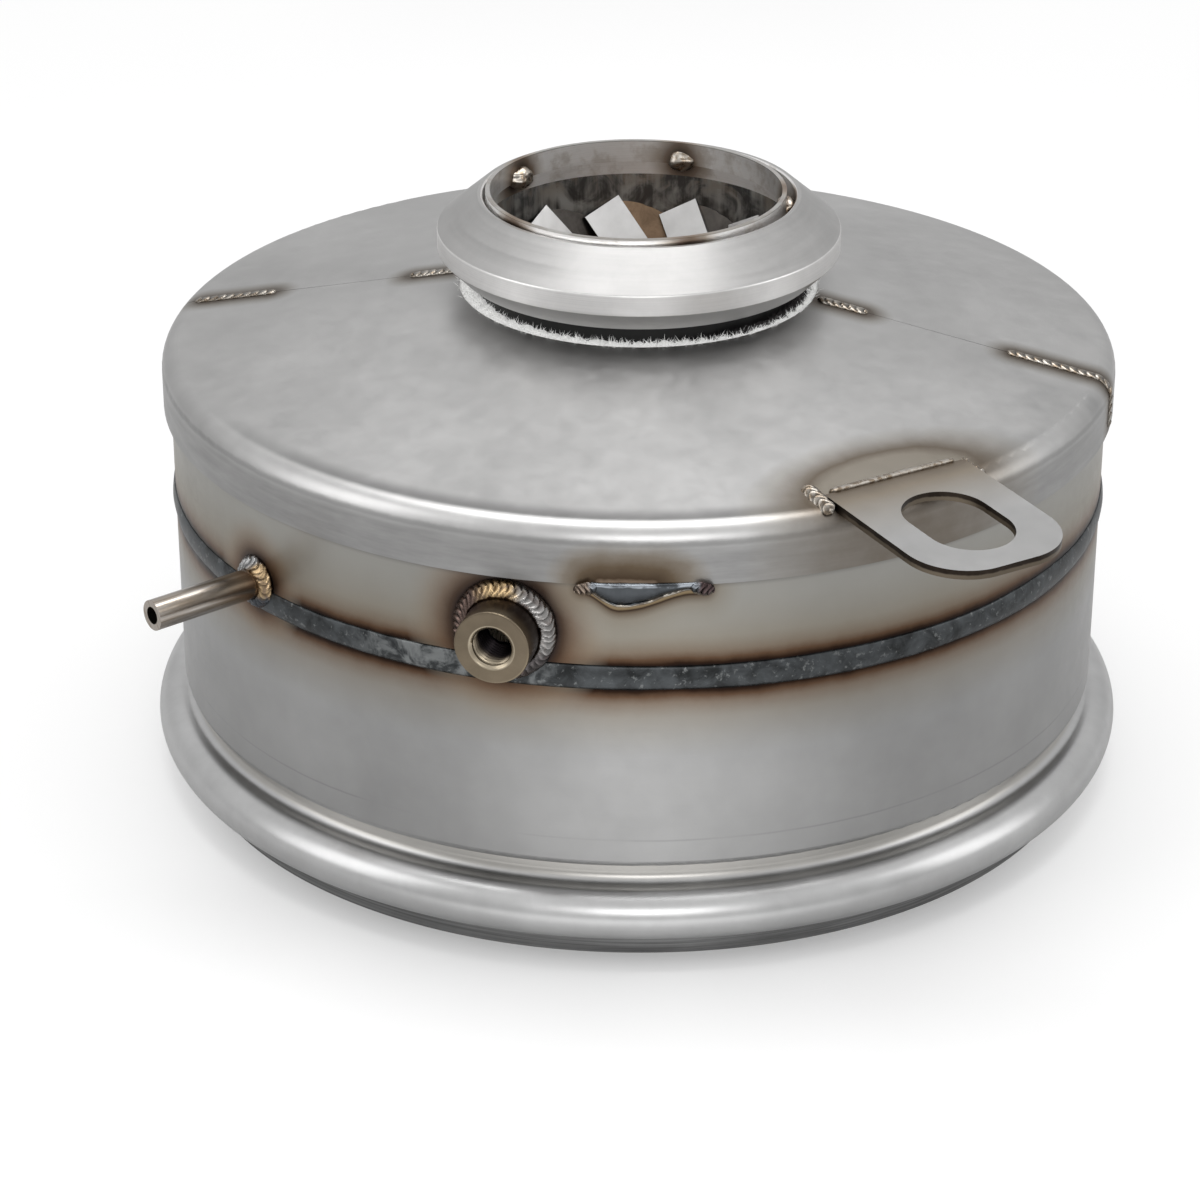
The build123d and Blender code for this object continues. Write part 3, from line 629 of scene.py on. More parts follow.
def cap_steel():
    """Pressed inner cap: streaked and mottled inside the neck, with near-black painted shadow on its outside
    below the flange.
    """
    paint = Paint("cap_steel")
    streak = paint.lines(paint.turn() * 52.0, paint.z, spacing=3.2, stretch=30.0)
    mottle = paint.noise(11.0, roughness=0.65, distortion=0.8)
    bright = paint.rise(streak * 0.4 + mottle * 0.6, 0.4, 0.62)
    colour = paint.blend(bright, grey(0.12), (0.52, 0.525, 0.51, 1.0))
    near_top = paint.rise(paint.z, 180.0, 188.0) * paint.rise(mottle, 0.45, 0.6)
    colour = paint.blend(near_top * 0.5, colour, (0.26, 0.19, 0.13, 1.0))
    outside = paint.rise(paint.radius, mm(NECK_RADIUS) - 0.9, mm(NECK_RADIUS) - 0.4)
    # Near-black painted shadow on the neck's outside, in the crevice under the flange
    colour = paint.blend(outside, colour, grey(0.035))
    normal = paint.bump(paint.noise(9.0, detail=3.0, roughness=0.55), 0.3 * MM, strength=0.6)
    return paint.finish(colour, paint.spread(mottle, 0.3, 0.5), normal=normal)


def on_vane(paint):
    """1 on the mixer's flat vanes and 0 on the curved webs between them.

    Both flare by the same angle, so a face's own normal gives the vane that it would be on, and how far
    along that vane's leaning edge it lies."""
    flare = math.radians(VANE_FLARE)
    lean = math.radians(VANE_LEAN)
    normal_x, normal_y, normal_z = paint.facing()
    flat = paint.rise(abs(abs(normal_z) - math.sin(flare)), 0.013, 0.006)
    inward = normal_z.sign() * -1.0 / math.cos(flare)
    out_x = normal_x * inward
    out_y = normal_y * inward
    across = paint.y * out_x - paint.x * out_y
    outward = paint.x * out_x + paint.y * out_y - mm(MIXER_RADIUS)
    down = outward * math.sin(flare) + (paint.z - mm(MIXER_HIGH)) * math.cos(flare)
    return flat * paint.rise(across * math.cos(lean) - down * math.sin(lean), -0.2, 0.2)


def mixer_steel():
    """Swirl mixer: pale vanes, webs brown in the middle and dark grey to the sides, darker towards the dish.
    """
    paint = Paint("mixer_steel")
    colour, cloud, mark = satin(paint, tone=0.55, warmth=0.01, spot_size=12.0, depth=0.1)
    aside = paint.rise(abs(paint.x - 2.0), 12.0, 22.0)
    web = paint.blend(aside, (0.16, 0.108, 0.07, 1.0), (0.075, 0.068, 0.062, 1.0))
    colour = paint.blend(on_vane(paint), paint.shade(web, paint.spread(mark, 0.6, 1.4)), colour)
    depth = mm(MIXER_HIGH) - paint.z + ragged(cloud, 8.0)
    colour = paint.blend(paint.rise(depth, 12.0, 22.0), colour, (0.12, 0.085, 0.06, 1.0))
    normal = paint.bump(paint.noise(3.0, roughness=0.55), 0.05 * MM, strength=0.5)
    return paint.finish(colour, paint.spread(mark, 0.33, 0.48), normal=normal)


def boss_steel():
    """Turned boss: bronze, darker towards its weld, with a painted highlight in the bore's mouth and
    near-black painted shadow deep in the bore.
    """
    paint = Paint("boss_steel")
    end = mm(BOSS_END)
    outward, sideways = paint.along(BOSS_AZIMUTH)
    cloud = paint.noise(9.0)
    near = paint.rise(outward + ragged(cloud, 3.0), end - 0.6, end - 6.5)
    colour = paint.blend(near, (0.2, 0.162, 0.115, 1.0), (0.05, 0.035, 0.027, 1.0))
    inside = paint.rise(length(sideways, paint.z - mm(BOSS_HEIGHT)), 7.6, 7.3)
    bore_shadow = paint.rise(outward, end - 2.0, end - 9.0)
    # Painted highlight in the bore's mouth, then near-black painted shadow deeper in
    colour = paint.blend(inside * (1.0 - bore_shadow), colour, (0.42, 0.36, 0.27, 1.0))
    colour = paint.blend(inside * bore_shadow, colour, (0.012, 0.010, 0.011, 1.0))
    colour = paint.shade(colour, paint.spread(cloud, 0.86, 1.12))
    rings = paint.lines(outward, paint.z, spacing=0.3, stretch=30.0)
    normal = paint.bump(rings, 0.015 * MM, strength=0.5)
    return paint.finish(colour, paint.spread(rings, 0.28, 0.4), normal=normal)


def tube_steel():
    """Drawn tube with long tan streaks, browner towards its weld."""
    paint = Paint("tube_steel")
    tan = (0.22, 0.165, 0.11, 1.0)
    outward, sideways = paint.along(TUBE_AZIMUTH)
    streak = paint.lines(sideways + paint.z * 0.7, outward, spacing=1.1, stretch=40.0)
    colour = paint.blend(paint.spread(streak, 0.0, 1.0), grey(0.58, 0.05), tan)
    near = paint.rise(outward, 184.0, mm(CAN_RADIUS) + 5.0)
    colour = paint.blend(near * 0.8, colour, (0.2, 0.135, 0.085, 1.0))
    normal = paint.bump(streak, 0.03 * MM, strength=0.5)
    return paint.finish(colour, paint.spread(streak, 0.15, 0.26), normal=normal)


def lug_steel():
    """Flat plate: pale faces, dark cut edges with a painted tan reflection on their lower half, a tan tint
    near the root.
    """
    paint = Paint("lug_steel")
    colour, cloud, mark = satin(paint, tone=0.43, warmth=0.005, spot_size=30.0, depth=0.06)
    outward = paint.along(LUG_AZIMUTH)[0]
    root = outward - mm(LUG_ROOT) + ragged(cloud, 6.0)
    colour = paint.stain(colour, root.most(0.0), 34.0, LUG_ROOT_TINT)
    edge = paint.shade((0.03, 0.023, 0.018, 1.0), paint.spread(mark, 0.6, 1.6))
    fall = math.tan(math.radians(LUG_TILT))
    face = mm(cover_height(LUG_ROOT) + LUG_PROUD + LUG_ROOT * fall)
    depth = face - paint.z - outward * fall
    # Painted tan reflection on the lower half of the cut edges, towards the plate's outer end
    edge_reflection = paint.rise(depth + ragged(mark, 1.2), 1.3, 1.9) * paint.rise(outward, 158.0, 164.0)
    edge = paint.blend(edge_reflection * 0.85, edge, (0.17, 0.14, 0.105, 1.0))
    colour = paint.blend(paint.rise(abs(paint.facing()[2]), 0.8, 0.4), colour, edge)
    normal = paint.bump(paint.noise(2.0, detail=3.0, roughness=0.55), 0.01 * MM, strength=0.5)
    return paint.finish(colour, paint.spread(mark, 0.4, 0.48), normal=normal)


def girth_weld_metal():
    """Dark oxidised weld, blue-grey with lighter flecks, and paler beside the boss."""
    paint = Paint("girth_weld_metal")
    patch = paint.noise(7.0, distortion=0.5)
    fleck = paint.noise(2.2, roughness=0.7)
    patches = paint.scaled(patch, 0.35, 0.65, 0.0, 1.0)
    colour = paint.blend(patches, (0.030, 0.032, 0.033, 1.0), (0.085, 0.092, 0.097, 1.0))
    colour = paint.blend(paint.rise(fleck, 0.56, 0.7) * 0.7, colour, (0.22, 0.23, 0.23, 1.0))
    beside = abs(paint.along(BOSS_AZIMUTH - 6)[1])
    near_boss = paint.rise(beside, 42.0, 14.0) * paint.rise(-paint.y, 60.0, 100.0)
    colour = paint.blend(near_boss * paint.rise(patch, 0.42, 0.6) * 0.8, colour, (0.24, 0.25, 0.25, 1.0))
    normal = paint.bump(fleck, 0.12 * MM, strength=0.7)
    return paint.finish(colour, paint.spread(patch, 0.3, 0.5), metallic=0.9, normal=normal)


def pipe_weld_metal():
    """Ripples round the boss and the tube: gold above, silver to the right, painted shade below and on the
    boss weld's left.
    """
    paint = Paint("pipe_weld_metal")
    cloud = paint.noise(3.2, roughness=0.65, distortion=0.6)
    boss_side = paint.along(BOSS_AZIMUTH)[1] + ragged(cloud, 6.0)
    boss = paint.blend(paint.rise(boss_side, 2.0, 7.0), (0.50, 0.36, 0.20, 1.0), (0.36, 0.35, 0.34, 1.0))
    # Painted shade on the boss weld's left side, with dark spots at random
    left_shade_and_spots = paint.rise(boss_side, -4.0, -10.0).most(paint.rise(cloud, 0.56, 0.7) * 0.8)
    boss = paint.blend(left_shade_and_spots, boss, (0.15, 0.105, 0.09, 1.0))
    outward, sideways = paint.along(TUBE_AZIMUTH)
    on_tube = paint.rise(outward, 150.0, 155.0)
    above = paint.z - mm(TUBE_HEIGHT)
    silver = paint.rise(above - sideways * 0.8 + ragged(cloud, 3.0), 4.0, 6.5)
    tube = paint.blend(silver, (0.45, 0.325, 0.19, 1.0), (0.42, 0.42, 0.42, 1.0))
    # Painted shade on the tube weld's lower side
    tube = paint.blend(paint.rise(above + ragged(cloud, 4.0), -1.5, -4.0), tube, (0.07, 0.075, 0.085, 1.0))
    colour = paint.blend(on_tube, boss, tube)
    # Painted shade on the boss weld's lower side
    boss_under_shade = paint.rise(paint.z - mm(BOSS_HEIGHT) + ragged(cloud, 5.0), -3.0, -8.0)
    colour = paint.blend(boss_under_shade * (1.0 - on_tube), colour, (0.10, 0.09, 0.09, 1.0))
    blotch = paint.noise(5.0, detail=3.0, distortion=0.8)
    colour = paint.blend(paint.rise(blotch, 0.5, 0.66) * 0.55, colour, (0.12, 0.085, 0.075, 1.0))
    colour = paint.shade(colour, paint.scaled(paint.crest(), 0.1, 0.75, 0.42, 1.12))
    normal = paint.bump(paint.noise(1.2, detail=3.0), 0.05 * MM, strength=0.6)
    return paint.finish(colour, paint.spread(cloud, 0.2, 0.34), normal=normal)


def cover_weld_metal():
    """Seam, lug and tack beads: silver crowns with straw and brown between them."""
    paint = Paint("cover_weld_metal")
    cloud = paint.noise(2.6)
    colour = paint.blend(paint.rise(cloud, 0.38, 0.62), (0.22, 0.175, 0.13, 1.0), (0.42, 0.39, 0.35, 1.0))
    colour = paint.shade(colour, paint.scaled(paint.crest(), 0.1, 0.8, 0.3, 1.15))
    return paint.finish(colour, paint.spread(cloud, 0.22, 0.34))


def stitch_weld_metal():
    """Stitch welds: dark blue-grey and glossy, with a painted highlight along the top, a tan rim and browned
    ends.
    """
    paint = Paint("stitch_weld_metal")
    cloud = paint.noise(5.0)
    crest = paint.scaled(paint.crest(), 0.1, 0.8, 0.2, 1.1)
    outward, sideways = paint.along(STITCH_AZIMUTH)
    sideways = sideways * outward.sign()
    wave = ragged(paint.noise(6.0, detail=2.0, roughness=0.5), 1.6)
    under = mm(SKIRT_FOOT) - paint.z + wave
    colour = paint.blend(cloud, (0.040, 0.044, 0.048, 1.0), (0.085, 0.092, 0.10, 1.0))
    # Painted highlight along the top, just under the skirt's edge
    gleam = paint.rise(under, 0.9, 0.4) * paint.rise(cloud + wave * 0.25, 0.38, 0.6)
    colour = paint.blend(gleam * 0.85, colour, (0.38, 0.41, 0.45, 1.0))
    lit = paint.blend(paint.rise(cloud, 0.4, 0.62), (0.16, 0.135, 0.11, 1.0), (0.4, 0.365, 0.315, 1.0))
    colour = paint.blend(paint.rise(under - stitch_drop(sideways), -1.1, -0.6), colour, lit)
    first = paint.shade((0.36, 0.285, 0.23, 1.0), crest)
    colour = paint.blend(paint.rise(sideways, 2.0 - STITCH_HALF, -STITCH_HALF), colour, first)
    last = paint.shade((0.12, 0.085, 0.085, 1.0), crest)
    colour = paint.blend(paint.rise(sideways, STITCH_HALF - 2.0, STITCH_HALF), colour, last)
    return paint.finish(colour, paint.spread(cloud, 0.16, 0.26))


def seam_weld_metal():
    """Low welds up the rolled shells and inside the can."""
    paint = Paint("seam_weld_metal")
    cloud = paint.noise(4.0)
    colour = paint.blend(cloud, (0.24, 0.21, 0.18, 1.0), (0.44, 0.42, 0.40, 1.0))
    return paint.finish(colour, 0.35, normal=paint.bump(cloud, 0.1 * MM, strength=0.5))


def monolith_ceramic():
    """Washcoated ceramic: matt, brownish buff."""
    paint = Paint("monolith_ceramic")
    colour = paint.blend(paint.noise(22.0), (0.44, 0.36, 0.26, 1.0), (0.60, 0.53, 0.42, 1.0))
    grit = paint.noise(0.6, detail=3.0, roughness=0.55)
    return paint.finish(colour, 0.85, metallic=0.0, normal=paint.bump(grit, 0.03 * MM, strength=0.5))


def mat_fibre():
    """Packed ceramic fibre."""
    paint = Paint("mat_fibre")
    cloud = paint.noise(3.0, detail=5.0, roughness=0.7)
    colour = paint.blend(cloud, (0.55, 0.52, 0.46, 1.0), (0.80, 0.78, 0.72, 1.0))
    return paint.finish(colour, 0.95, metallic=0.0, normal=paint.bump(cloud, 0.4 * MM, strength=0.8))


def blanket_fibre():
    """White fibre, near-black next to the neck and further out towards +x, with a painted glow given as
    emission.
    """
    paint = Paint("blanket_fibre")
    clump = paint.noise(2.4, detail=5.0, roughness=0.7)
    colour = paint.blend(clump, (0.74, 0.74, 0.73, 1.0), (0.93, 0.93, 0.92, 1.0))
    # Near-black next to the neck, reaching further out towards +x
    dark_radius = 53.2 + paint.rise(paint.x, -10.0, 40.0) * 4.6
    dark_near_neck = paint.rise(paint.radius + ragged(clump, 8.0), dark_radius + 0.6, dark_radius - 0.6)
    colour = paint.blend(dark_near_neck, colour, (0.022, 0.020, 0.020, 1.0))
    # Painted glow: emission that brightens the fibre, which is no lamp
    painted_glow = {"Emission Color": paint.shade(colour, 0.24), "Emission Strength": 1.0}
    normal = paint.bump(clump, 0.5 * MM, strength=0.8)
    return paint.finish(colour, 0.95, metallic=0.0, normal=normal, **painted_glow)


def new_object(name, mesh, material):
    """Object at the origin with one material, linked to the scene."""
    piece = bpy.data.objects.new(name, mesh)
    bpy.context.scene.collection.objects.link(piece)
    if not mesh.materials:
        mesh.materials.append(material)
    return piece


def tidy_mesh(mesh, hard_angle=None):
    """Merges doubles, points the faces outwards and shades them smooth, with edges past an angle hard."""
    work = bmesh.new()
    work.from_mesh(mesh)
    bmesh.ops.remove_doubles(work, verts=work.verts, dist=1e-6)
    bmesh.ops.recalc_face_normals(work, faces=work.faces)
    for face in work.faces:
        face.smooth = True
    if hard_angle:
        for edge in work.edges:
            edge.smooth = edge.calc_face_angle(0.0) < math.radians(hard_angle)
    work.to_mesh(mesh)
    work.free()


def add_crests(mesh, crests):
    """Keeps how near each point is to a ripple's crest, for the weld's material."""
    mesh.attributes.new("crest", "FLOAT", "POINT").data.foreach_set("value", crests)


def join(name, pieces):
    """One object made of several, with their materials kept."""
    merged = bmesh.new()
    for piece in pieces:
        merged.from_mesh(piece.data)
    mesh = bpy.data.meshes.new(name)
    merged.to_mesh(mesh)
    merged.free()
    mesh.materials.append(pieces[0].data.materials[0])
    for piece in pieces:
        bpy.data.objects.remove(piece)
    return new_object(name, mesh, mesh.materials[0])


def dress(piece, slot, *nodes):
    """Lets a piece ride on the part and stand for its nodes, which it hides; the slot is not used."""
    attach(piece, "root")
    if nodes:
        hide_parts(*nodes)
    return piece


def spokes_out(turn):
    """Unit vectors that point straight out at angles in radians."""
    return np.stack([np.cos(turn), np.sin(turn), np.zeros(len(turn))], axis=1)


def full_turn(count):
    """Angles of a number of spokes all the way round."""
    return np.linspace(0, 2 * math.pi, count, endpoint=False)


def circle(radius, height, turn):
    """Points round the axis at a radius and a height, either of which may vary from spoke to spoke."""
    return np.stack([radius * np.cos(turn), radius * np.sin(turn), height * np.ones(len(turn))], axis=1)


def arc(across, height, radius, start, end, count=12):
    """Points of an arc in a section, angles in degrees."""
    angles = np.radians(np.linspace(start, end, count))
    return [(across + radius * math.cos(angle), height + radius * math.sin(angle)) for angle in angles]


def lathe(name, grid, material):
    """Closed mesh over rings of points, the last ring joined back to the first."""
    rings, spokes = grid.shape[:2]
    faces = []
    for ring_number in range(rings):
        here = ring_number * spokes
        there = (ring_number + 1) % rings * spokes
        for spoke in range(spokes):
            beside = (spoke + 1) % spokes
            faces.append((here + spoke, here + beside, there + beside, there + spoke))
    mesh = bpy.data.meshes.new(name)
    mesh.from_pydata(grid.reshape(-1, 3).tolist(), [], faces)
    tidy_mesh(mesh, hard_angle=35.0)
    return new_object(name, mesh, material)


def turned(name, outline, material, spokes):
    """Closed mesh of an outline of radii and heights turned about the axis."""
    turn = full_turn(spokes)
    return lathe(name, np.array([circle(radius, height, turn) for radius, height in outline]), material)


def loft(name, points, material, ring, crests):
    """Closed mesh over a grid of points: stations by section points, each section a loop."""
    stations, across = points.shape[:2]
    faces = []
    for station in range(stations if ring else stations - 1):
        here = station * across
        there = (station + 1) % stations * across
        for point in range(across):
            beside = (point + 1) % across
            faces.append((here + point, there + point, there + beside, here + beside))
    if not ring:
        faces.append(tuple(range(across)))
        faces.append(tuple((stations - 1) * across + point for point in range(across)))
    mesh = bpy.data.meshes.new(name)
    mesh.from_pydata(points.reshape(-1, 3).tolist(), [], faces)
    add_crests(mesh, crests.ravel())
    tidy_mesh(mesh)
    return new_object(name, mesh, material)


def wander(count, smoothing, seed, ring=False):
    """Slow random run of numbers between about -1 and 1."""
    rng = np.random.default_rng(seed)
    rough = rng.normal(size=count)
    margin = max(int(smoothing * 3), 1)
    window = np.exp(-0.5 * (np.arange(-margin, margin + 1) / smoothing) ** 2)
    if ring:
        padded = np.concatenate([rough[-margin:], rough, rough[:margin]])
    else:
        padded = np.pad(rough, margin, mode="reflect")
    smooth = np.convolve(padded, window / window.sum(), mode="valid")
    return smooth / max(abs(smooth).max(), 1e-9)


def side_vectors(places, normals, ring):
    """Unit vectors across a line on a surface."""
    if ring:
        ahead = np.roll(places, -1, axis=0) - np.roll(places, 1, axis=0)
    else:
        ahead = np.gradient(places, axis=0)
    sides = np.cross(ahead / np.linalg.norm(ahead, axis=1, keepdims=True), normals)
    return sides / np.linalg.norm(sides, axis=1, keepdims=True)


def bead(name, places, normals, material, half, crown, pitch=None, ripple=0.35, bow=1.0, sink=0.5 * MM,
         seed=1, ring=False, taper=True, lumps=0.0, section=13):
    """Weld bead along a line on a surface, its crown broken into overlapping ripples.

    Half is half its width, pitch the length of a ripple, ripple its depth as a share of the crown, bow how
    far its middle runs ahead, and sink how deep the underside goes."""
    places = np.asarray(places, float)
    normals = np.asarray(normals, float)
    count = len(places)
    sides = side_vectors(places, normals, ring)
    gaps = np.linalg.norm(np.diff(places, axis=0), axis=1)
    along = np.concatenate([[0.0], np.cumsum(gaps)])
    jitter = np.random.default_rng(seed).uniform(-1, 1, 4096)
    half = np.broadcast_to(half, count).astype(float)
    crown = np.broadcast_to(crown, count).astype(float)
    fade = np.ones(count)
    if taper and not ring:
        to_end = np.minimum(along, along[-1] - along)
        fade = np.sqrt(np.clip(1 - (1 - np.clip(to_end / half.max(), 0, 1)) ** 2, 0.02, 1))
    lump = wander(count, smoothing=4, seed=seed + 7, ring=ring) * lumps + 1
    across = np.linspace(-1, 1, section)
    profile = (1 - across**2) ** 0.8
    points = np.zeros((count, section + 1, 3))
    crests = np.ones((count, section + 1))
    for index in range(count):
        height = crown[index] * fade[index] * profile * lump[index]
        width = half[index] * fade[index]
        if pitch:
            phase = along[index] / pitch + bow * (1 - across**2)
            number = np.floor(phase).astype(int)
            saw = phase - number
            shape = 1 - ripple + ripple * (1.35 * (1 - saw**1.6)) + 0.12 * jitter[number % len(jitter)]
            height = height * shape
            crests[index, :section] = (1 - saw) * (1 - 0.35 * across**4)
            width = width * (1 + 0.07 * jitter[int(along[index] / pitch) % len(jitter)])
        rise = np.outer(height, normals[index])
        points[index, :section] = places[index] + np.outer(across * width, sides[index]) + rise
        points[index, section] = places[index] - normals[index] * sink * fade[index]
    return loft(name, points, material, ring, crests)


def make_girth_weld(material):
    """Uneven bead all the way round the joint of the two shells."""
    count = 900
    turn = full_turn(count)
    uneven = 0.25 * MM
    heights = GIRTH_MIDDLE + wander(count, smoothing=25, seed=3, ring=True) * uneven
    half = GIRTH_HALF - uneven + wander(count, smoothing=8, seed=5, ring=True) * uneven
    piece = bead("girth_weld_bead", circle(CAN_RADIUS, heights, turn), spokes_out(turn), material,
                 half=half, crown=GIRTH_CROWN * 0.8, lumps=0.22, seed=11, ring=True, section=15)
    dress(piece, "girth_weld_metal", "girth_weld")


def make_pipe_weld(name, node, material, azimuth, height, radius, leg, pitch, seed):
    """Rippled fillet where a pipe enters the shell."""
    count = 420
    turn = full_turn(count)
    outward = out(azimuth)
    spokes = np.outer(np.cos(turn), out(azimuth + 90)) + np.outer(np.sin(turn), UP)
    middle = radius + leg / 2
    drop = CAN_RADIUS - np.sqrt(CAN_RADIUS**2 - (middle * np.cos(turn)) ** 2)
    centre = outward * CAN_RADIUS + UP * height
    places = centre + spokes * middle + np.outer(leg / 2 - drop, outward)
    normals = (spokes + outward) / math.sqrt(2)
    half = leg * (0.72 + 0.09 * wander(count, smoothing=14, seed=seed + 3, ring=True))
    piece = bead(name, places, normals, material, half=half, crown=leg * 0.3, pitch=pitch, ripple=0.42,
                 bow=1.1, sink=leg * 0.55, seed=seed, ring=True, lumps=0.3)
    dress(piece, "pipe_weld_metal", node)


def cover_rail(azimuth, start, end, over_edge=0.0):
    """Points and normals along the cover's face from one radius out to another, or down the skirt."""
    slope = math.radians(COVER_SLOPE)
    step = 0.3 * MM
    bend_centre = COVER_RADIUS - COVER_BEND
    shoulder = bend_centre + COVER_BEND * math.sin(slope)
    rail = []
    for radius in np.arange(start, min(end, shoulder), step * math.cos(slope)):
        rail.append((radius, cover_height(radius), math.sin(slope), math.cos(slope)))
    if over_edge:
        for angle in np.arange(slope, math.pi / 2, step / COVER_BEND):
            across = math.sin(angle)
            above = math.cos(angle)
            rail.append((bend_centre + COVER_BEND * across, BEND_HEIGHT + COVER_BEND * above, across, above))
        for fall in np.arange(0, over_edge, step):
            rail.append((COVER_RADIUS, BEND_HEIGHT - fall, 1.0, 0.0))
    rail = np.array(rail)
    direction = out(azimuth)
    places = np.outer(rail[:, 0], direction) + np.outer(rail[:, 1], UP)
    normals = np.outer(rail[:, 2], direction) + np.outer(rail[:, 3], UP)
    return places, normals


def make_seam_welds(material):
    """Four beads on the cover's seams, the right outer one run over the edge."""
    for side, azimuth, fall in SEAMS:
        axis = Vector(out(azimuth))
        start = COVER_HOLE + SEAM_INNER_START
        places, normals = cover_rail(azimuth, start, start + SEAM_INNER_LENGTH)
        piece = bead(f"seam_bead_{side}_inner", places, normals, material, half=2.5 * MM, crown=0.9 * MM,
                     pitch=2.7 * MM, ripple=0.5, seed=21 + int(azimuth))
        dress(piece, "cover_weld_metal", f"seam_weld_{side}_inner")
        node = f"seam_weld_{side}_outer"
        end = COVER_RADIUS if fall else reach(node, axis)
        places, normals = cover_rail(azimuth, -reach(node, -axis), end, fall)
        piece = bead(f"seam_bead_{side}_outer", places, normals, material, half=2.1 * MM, crown=0.8 * MM,
                     pitch=3.0 * MM, ripple=0.5, seed=31 + int(azimuth))
        dress(piece, "cover_weld_metal", node)


def lug_frame():
    """The lug's root point, the way out along it, its side and its normal."""
    tilt = math.radians(LUG_TILT)
    outward = out(LUG_AZIMUTH)
    root = outward * LUG_ROOT + UP * (cover_height(LUG_ROOT) + LUG_PROUD)
    along = outward * math.cos(tilt) - UP * math.sin(tilt)
    normal = UP * math.cos(tilt) + outward * math.sin(tilt)
    return root, along, np.cross(normal, along), normal


def repeated(vector, count):
    """One direction, made a unit vector and repeated for each point of a bead."""
    return np.tile(vector / np.linalg.norm(vector), (count, 1))


def make_lug_welds(material):
    """Smooth bead along the lug's root and a short rippled one down each side of it."""
    root, along, side, normal = lug_frame()
    half_width = LUG_WIDTH / 2
    end = half_width - 3 * MM
    spread = np.linspace(-end, end, 160)
    places = root + np.outer(spread, side) - along * 1.5 * MM - normal * 0.45 * MM
    normals = repeated(normal * 0.86 - along * 0.5, len(spread))
    piece = bead("lug_root_bead", places, normals, material, half=2.2 * MM, crown=1.1 * MM, seed=41,
                 sink=1.4 * MM, lumps=0.06)
    dress(piece, "cover_weld_metal", "lug_root_weld")
    fall = math.tan(math.radians(COVER_SLOPE)) - math.tan(math.radians(LUG_TILT))
    for name, sign, start, lower in (("left", -1, -8.0 * MM, 0.0), ("right", 1, -4.5 * MM, 1.6 * MM)):
        run = np.linspace(start, 7.8 * MM, 130)
        drop = (run * fall)[:, None] * normal
        corner = root + side * sign * half_width - normal * (LUG_SHEET * 0.45)
        places = corner + np.outer(run, along) - drop * 0.6 + side * sign * 2.3 * MM - normal * lower
        normals = repeated(normal * 0.85 + side * sign * 0.53, len(run))
        piece = bead(f"lug_side_bead_{name}", places, normals, material, half=2.6 * MM, crown=1.5 * MM,
                     pitch=2.5 * MM, ripple=0.55, seed=51 + sign, sink=1.8 * MM)
        dress(piece, "cover_weld_metal", f"lug_side_weld_{name}")


def make_stitch_weld(name, azimuth, material, seed):
    """Lens of weld under the skirt's edge, deepest off its middle, with a rippled blob at each end."""
    count = 260
    share = np.linspace(-1, 1, count)
    angles = share * STITCH_HALF * MM / CAN_RADIUS + math.radians(azimuth)
    gap = COVER_RADIUS - CAN_RADIUS + 0.3 * MM
    place = share + STITCH_LEAN
    bell = np.minimum(np.where(place > 0, place / STITCH_RIGHT, -place / STITCH_LEFT), 1)
    uneven = wander(count, smoothing=9, seed=seed) * 0.3
    drop = (STITCH_LEAST + STITCH_MORE * (1 - bell**2) ** 2 + uneven) * MM
    radial = spokes_out(angles)
    places = radial * (CAN_RADIUS + gap * 0.5) + np.outer(SKIRT_FOOT + 0.9 * MM - drop / 2, UP)
    lengths = np.sqrt(gap**2 + drop**2)[:, None]
    normals = (radial * drop[:, None] - UP * gap) / lengths
    body = bead(f"{name}_body", places, normals, material, half=lengths[:, 0] / 2, crown=0.9 * MM,
                seed=seed, sink=1.0 * MM, lumps=0.3, taper=False)
    edge = radial * (CAN_RADIUS + 0.2 * MM) + np.outer(SKIRT_FOOT + 0.6 * MM - drop, UP)
    rim = bead(f"{name}_rim", edge, radial, material, half=0.6 * MM, crown=0.5 * MM, seed=seed + 1, lumps=0.3)
    pieces = [body, rim]
    run = np.linspace(-3.6 * MM, 3.6 * MM, 76)
    for end, middle in ((-1, angles[0]), (1, angles[-1])):
        outward = spokes_out(middle + end * run / CAN_RADIUS)
        places = outward * (CAN_RADIUS + 2.3 * MM) + np.outer(SKIRT_FOOT - 1.5 * MM - run * 0.2, UP)
        lean = outward * 0.85 - UP * 0.52
        pieces.append(bead(f"{name}_end_{end}", places, lean, material, half=3.1 * MM, crown=1.6 * MM,
                           pitch=1.7 * MM, ripple=0.5, bow=0.9, seed=seed + 5 + end, sink=2.2 * MM))
    dress(join(f"{name}_bead", pieces), "cover_weld_metal", name)


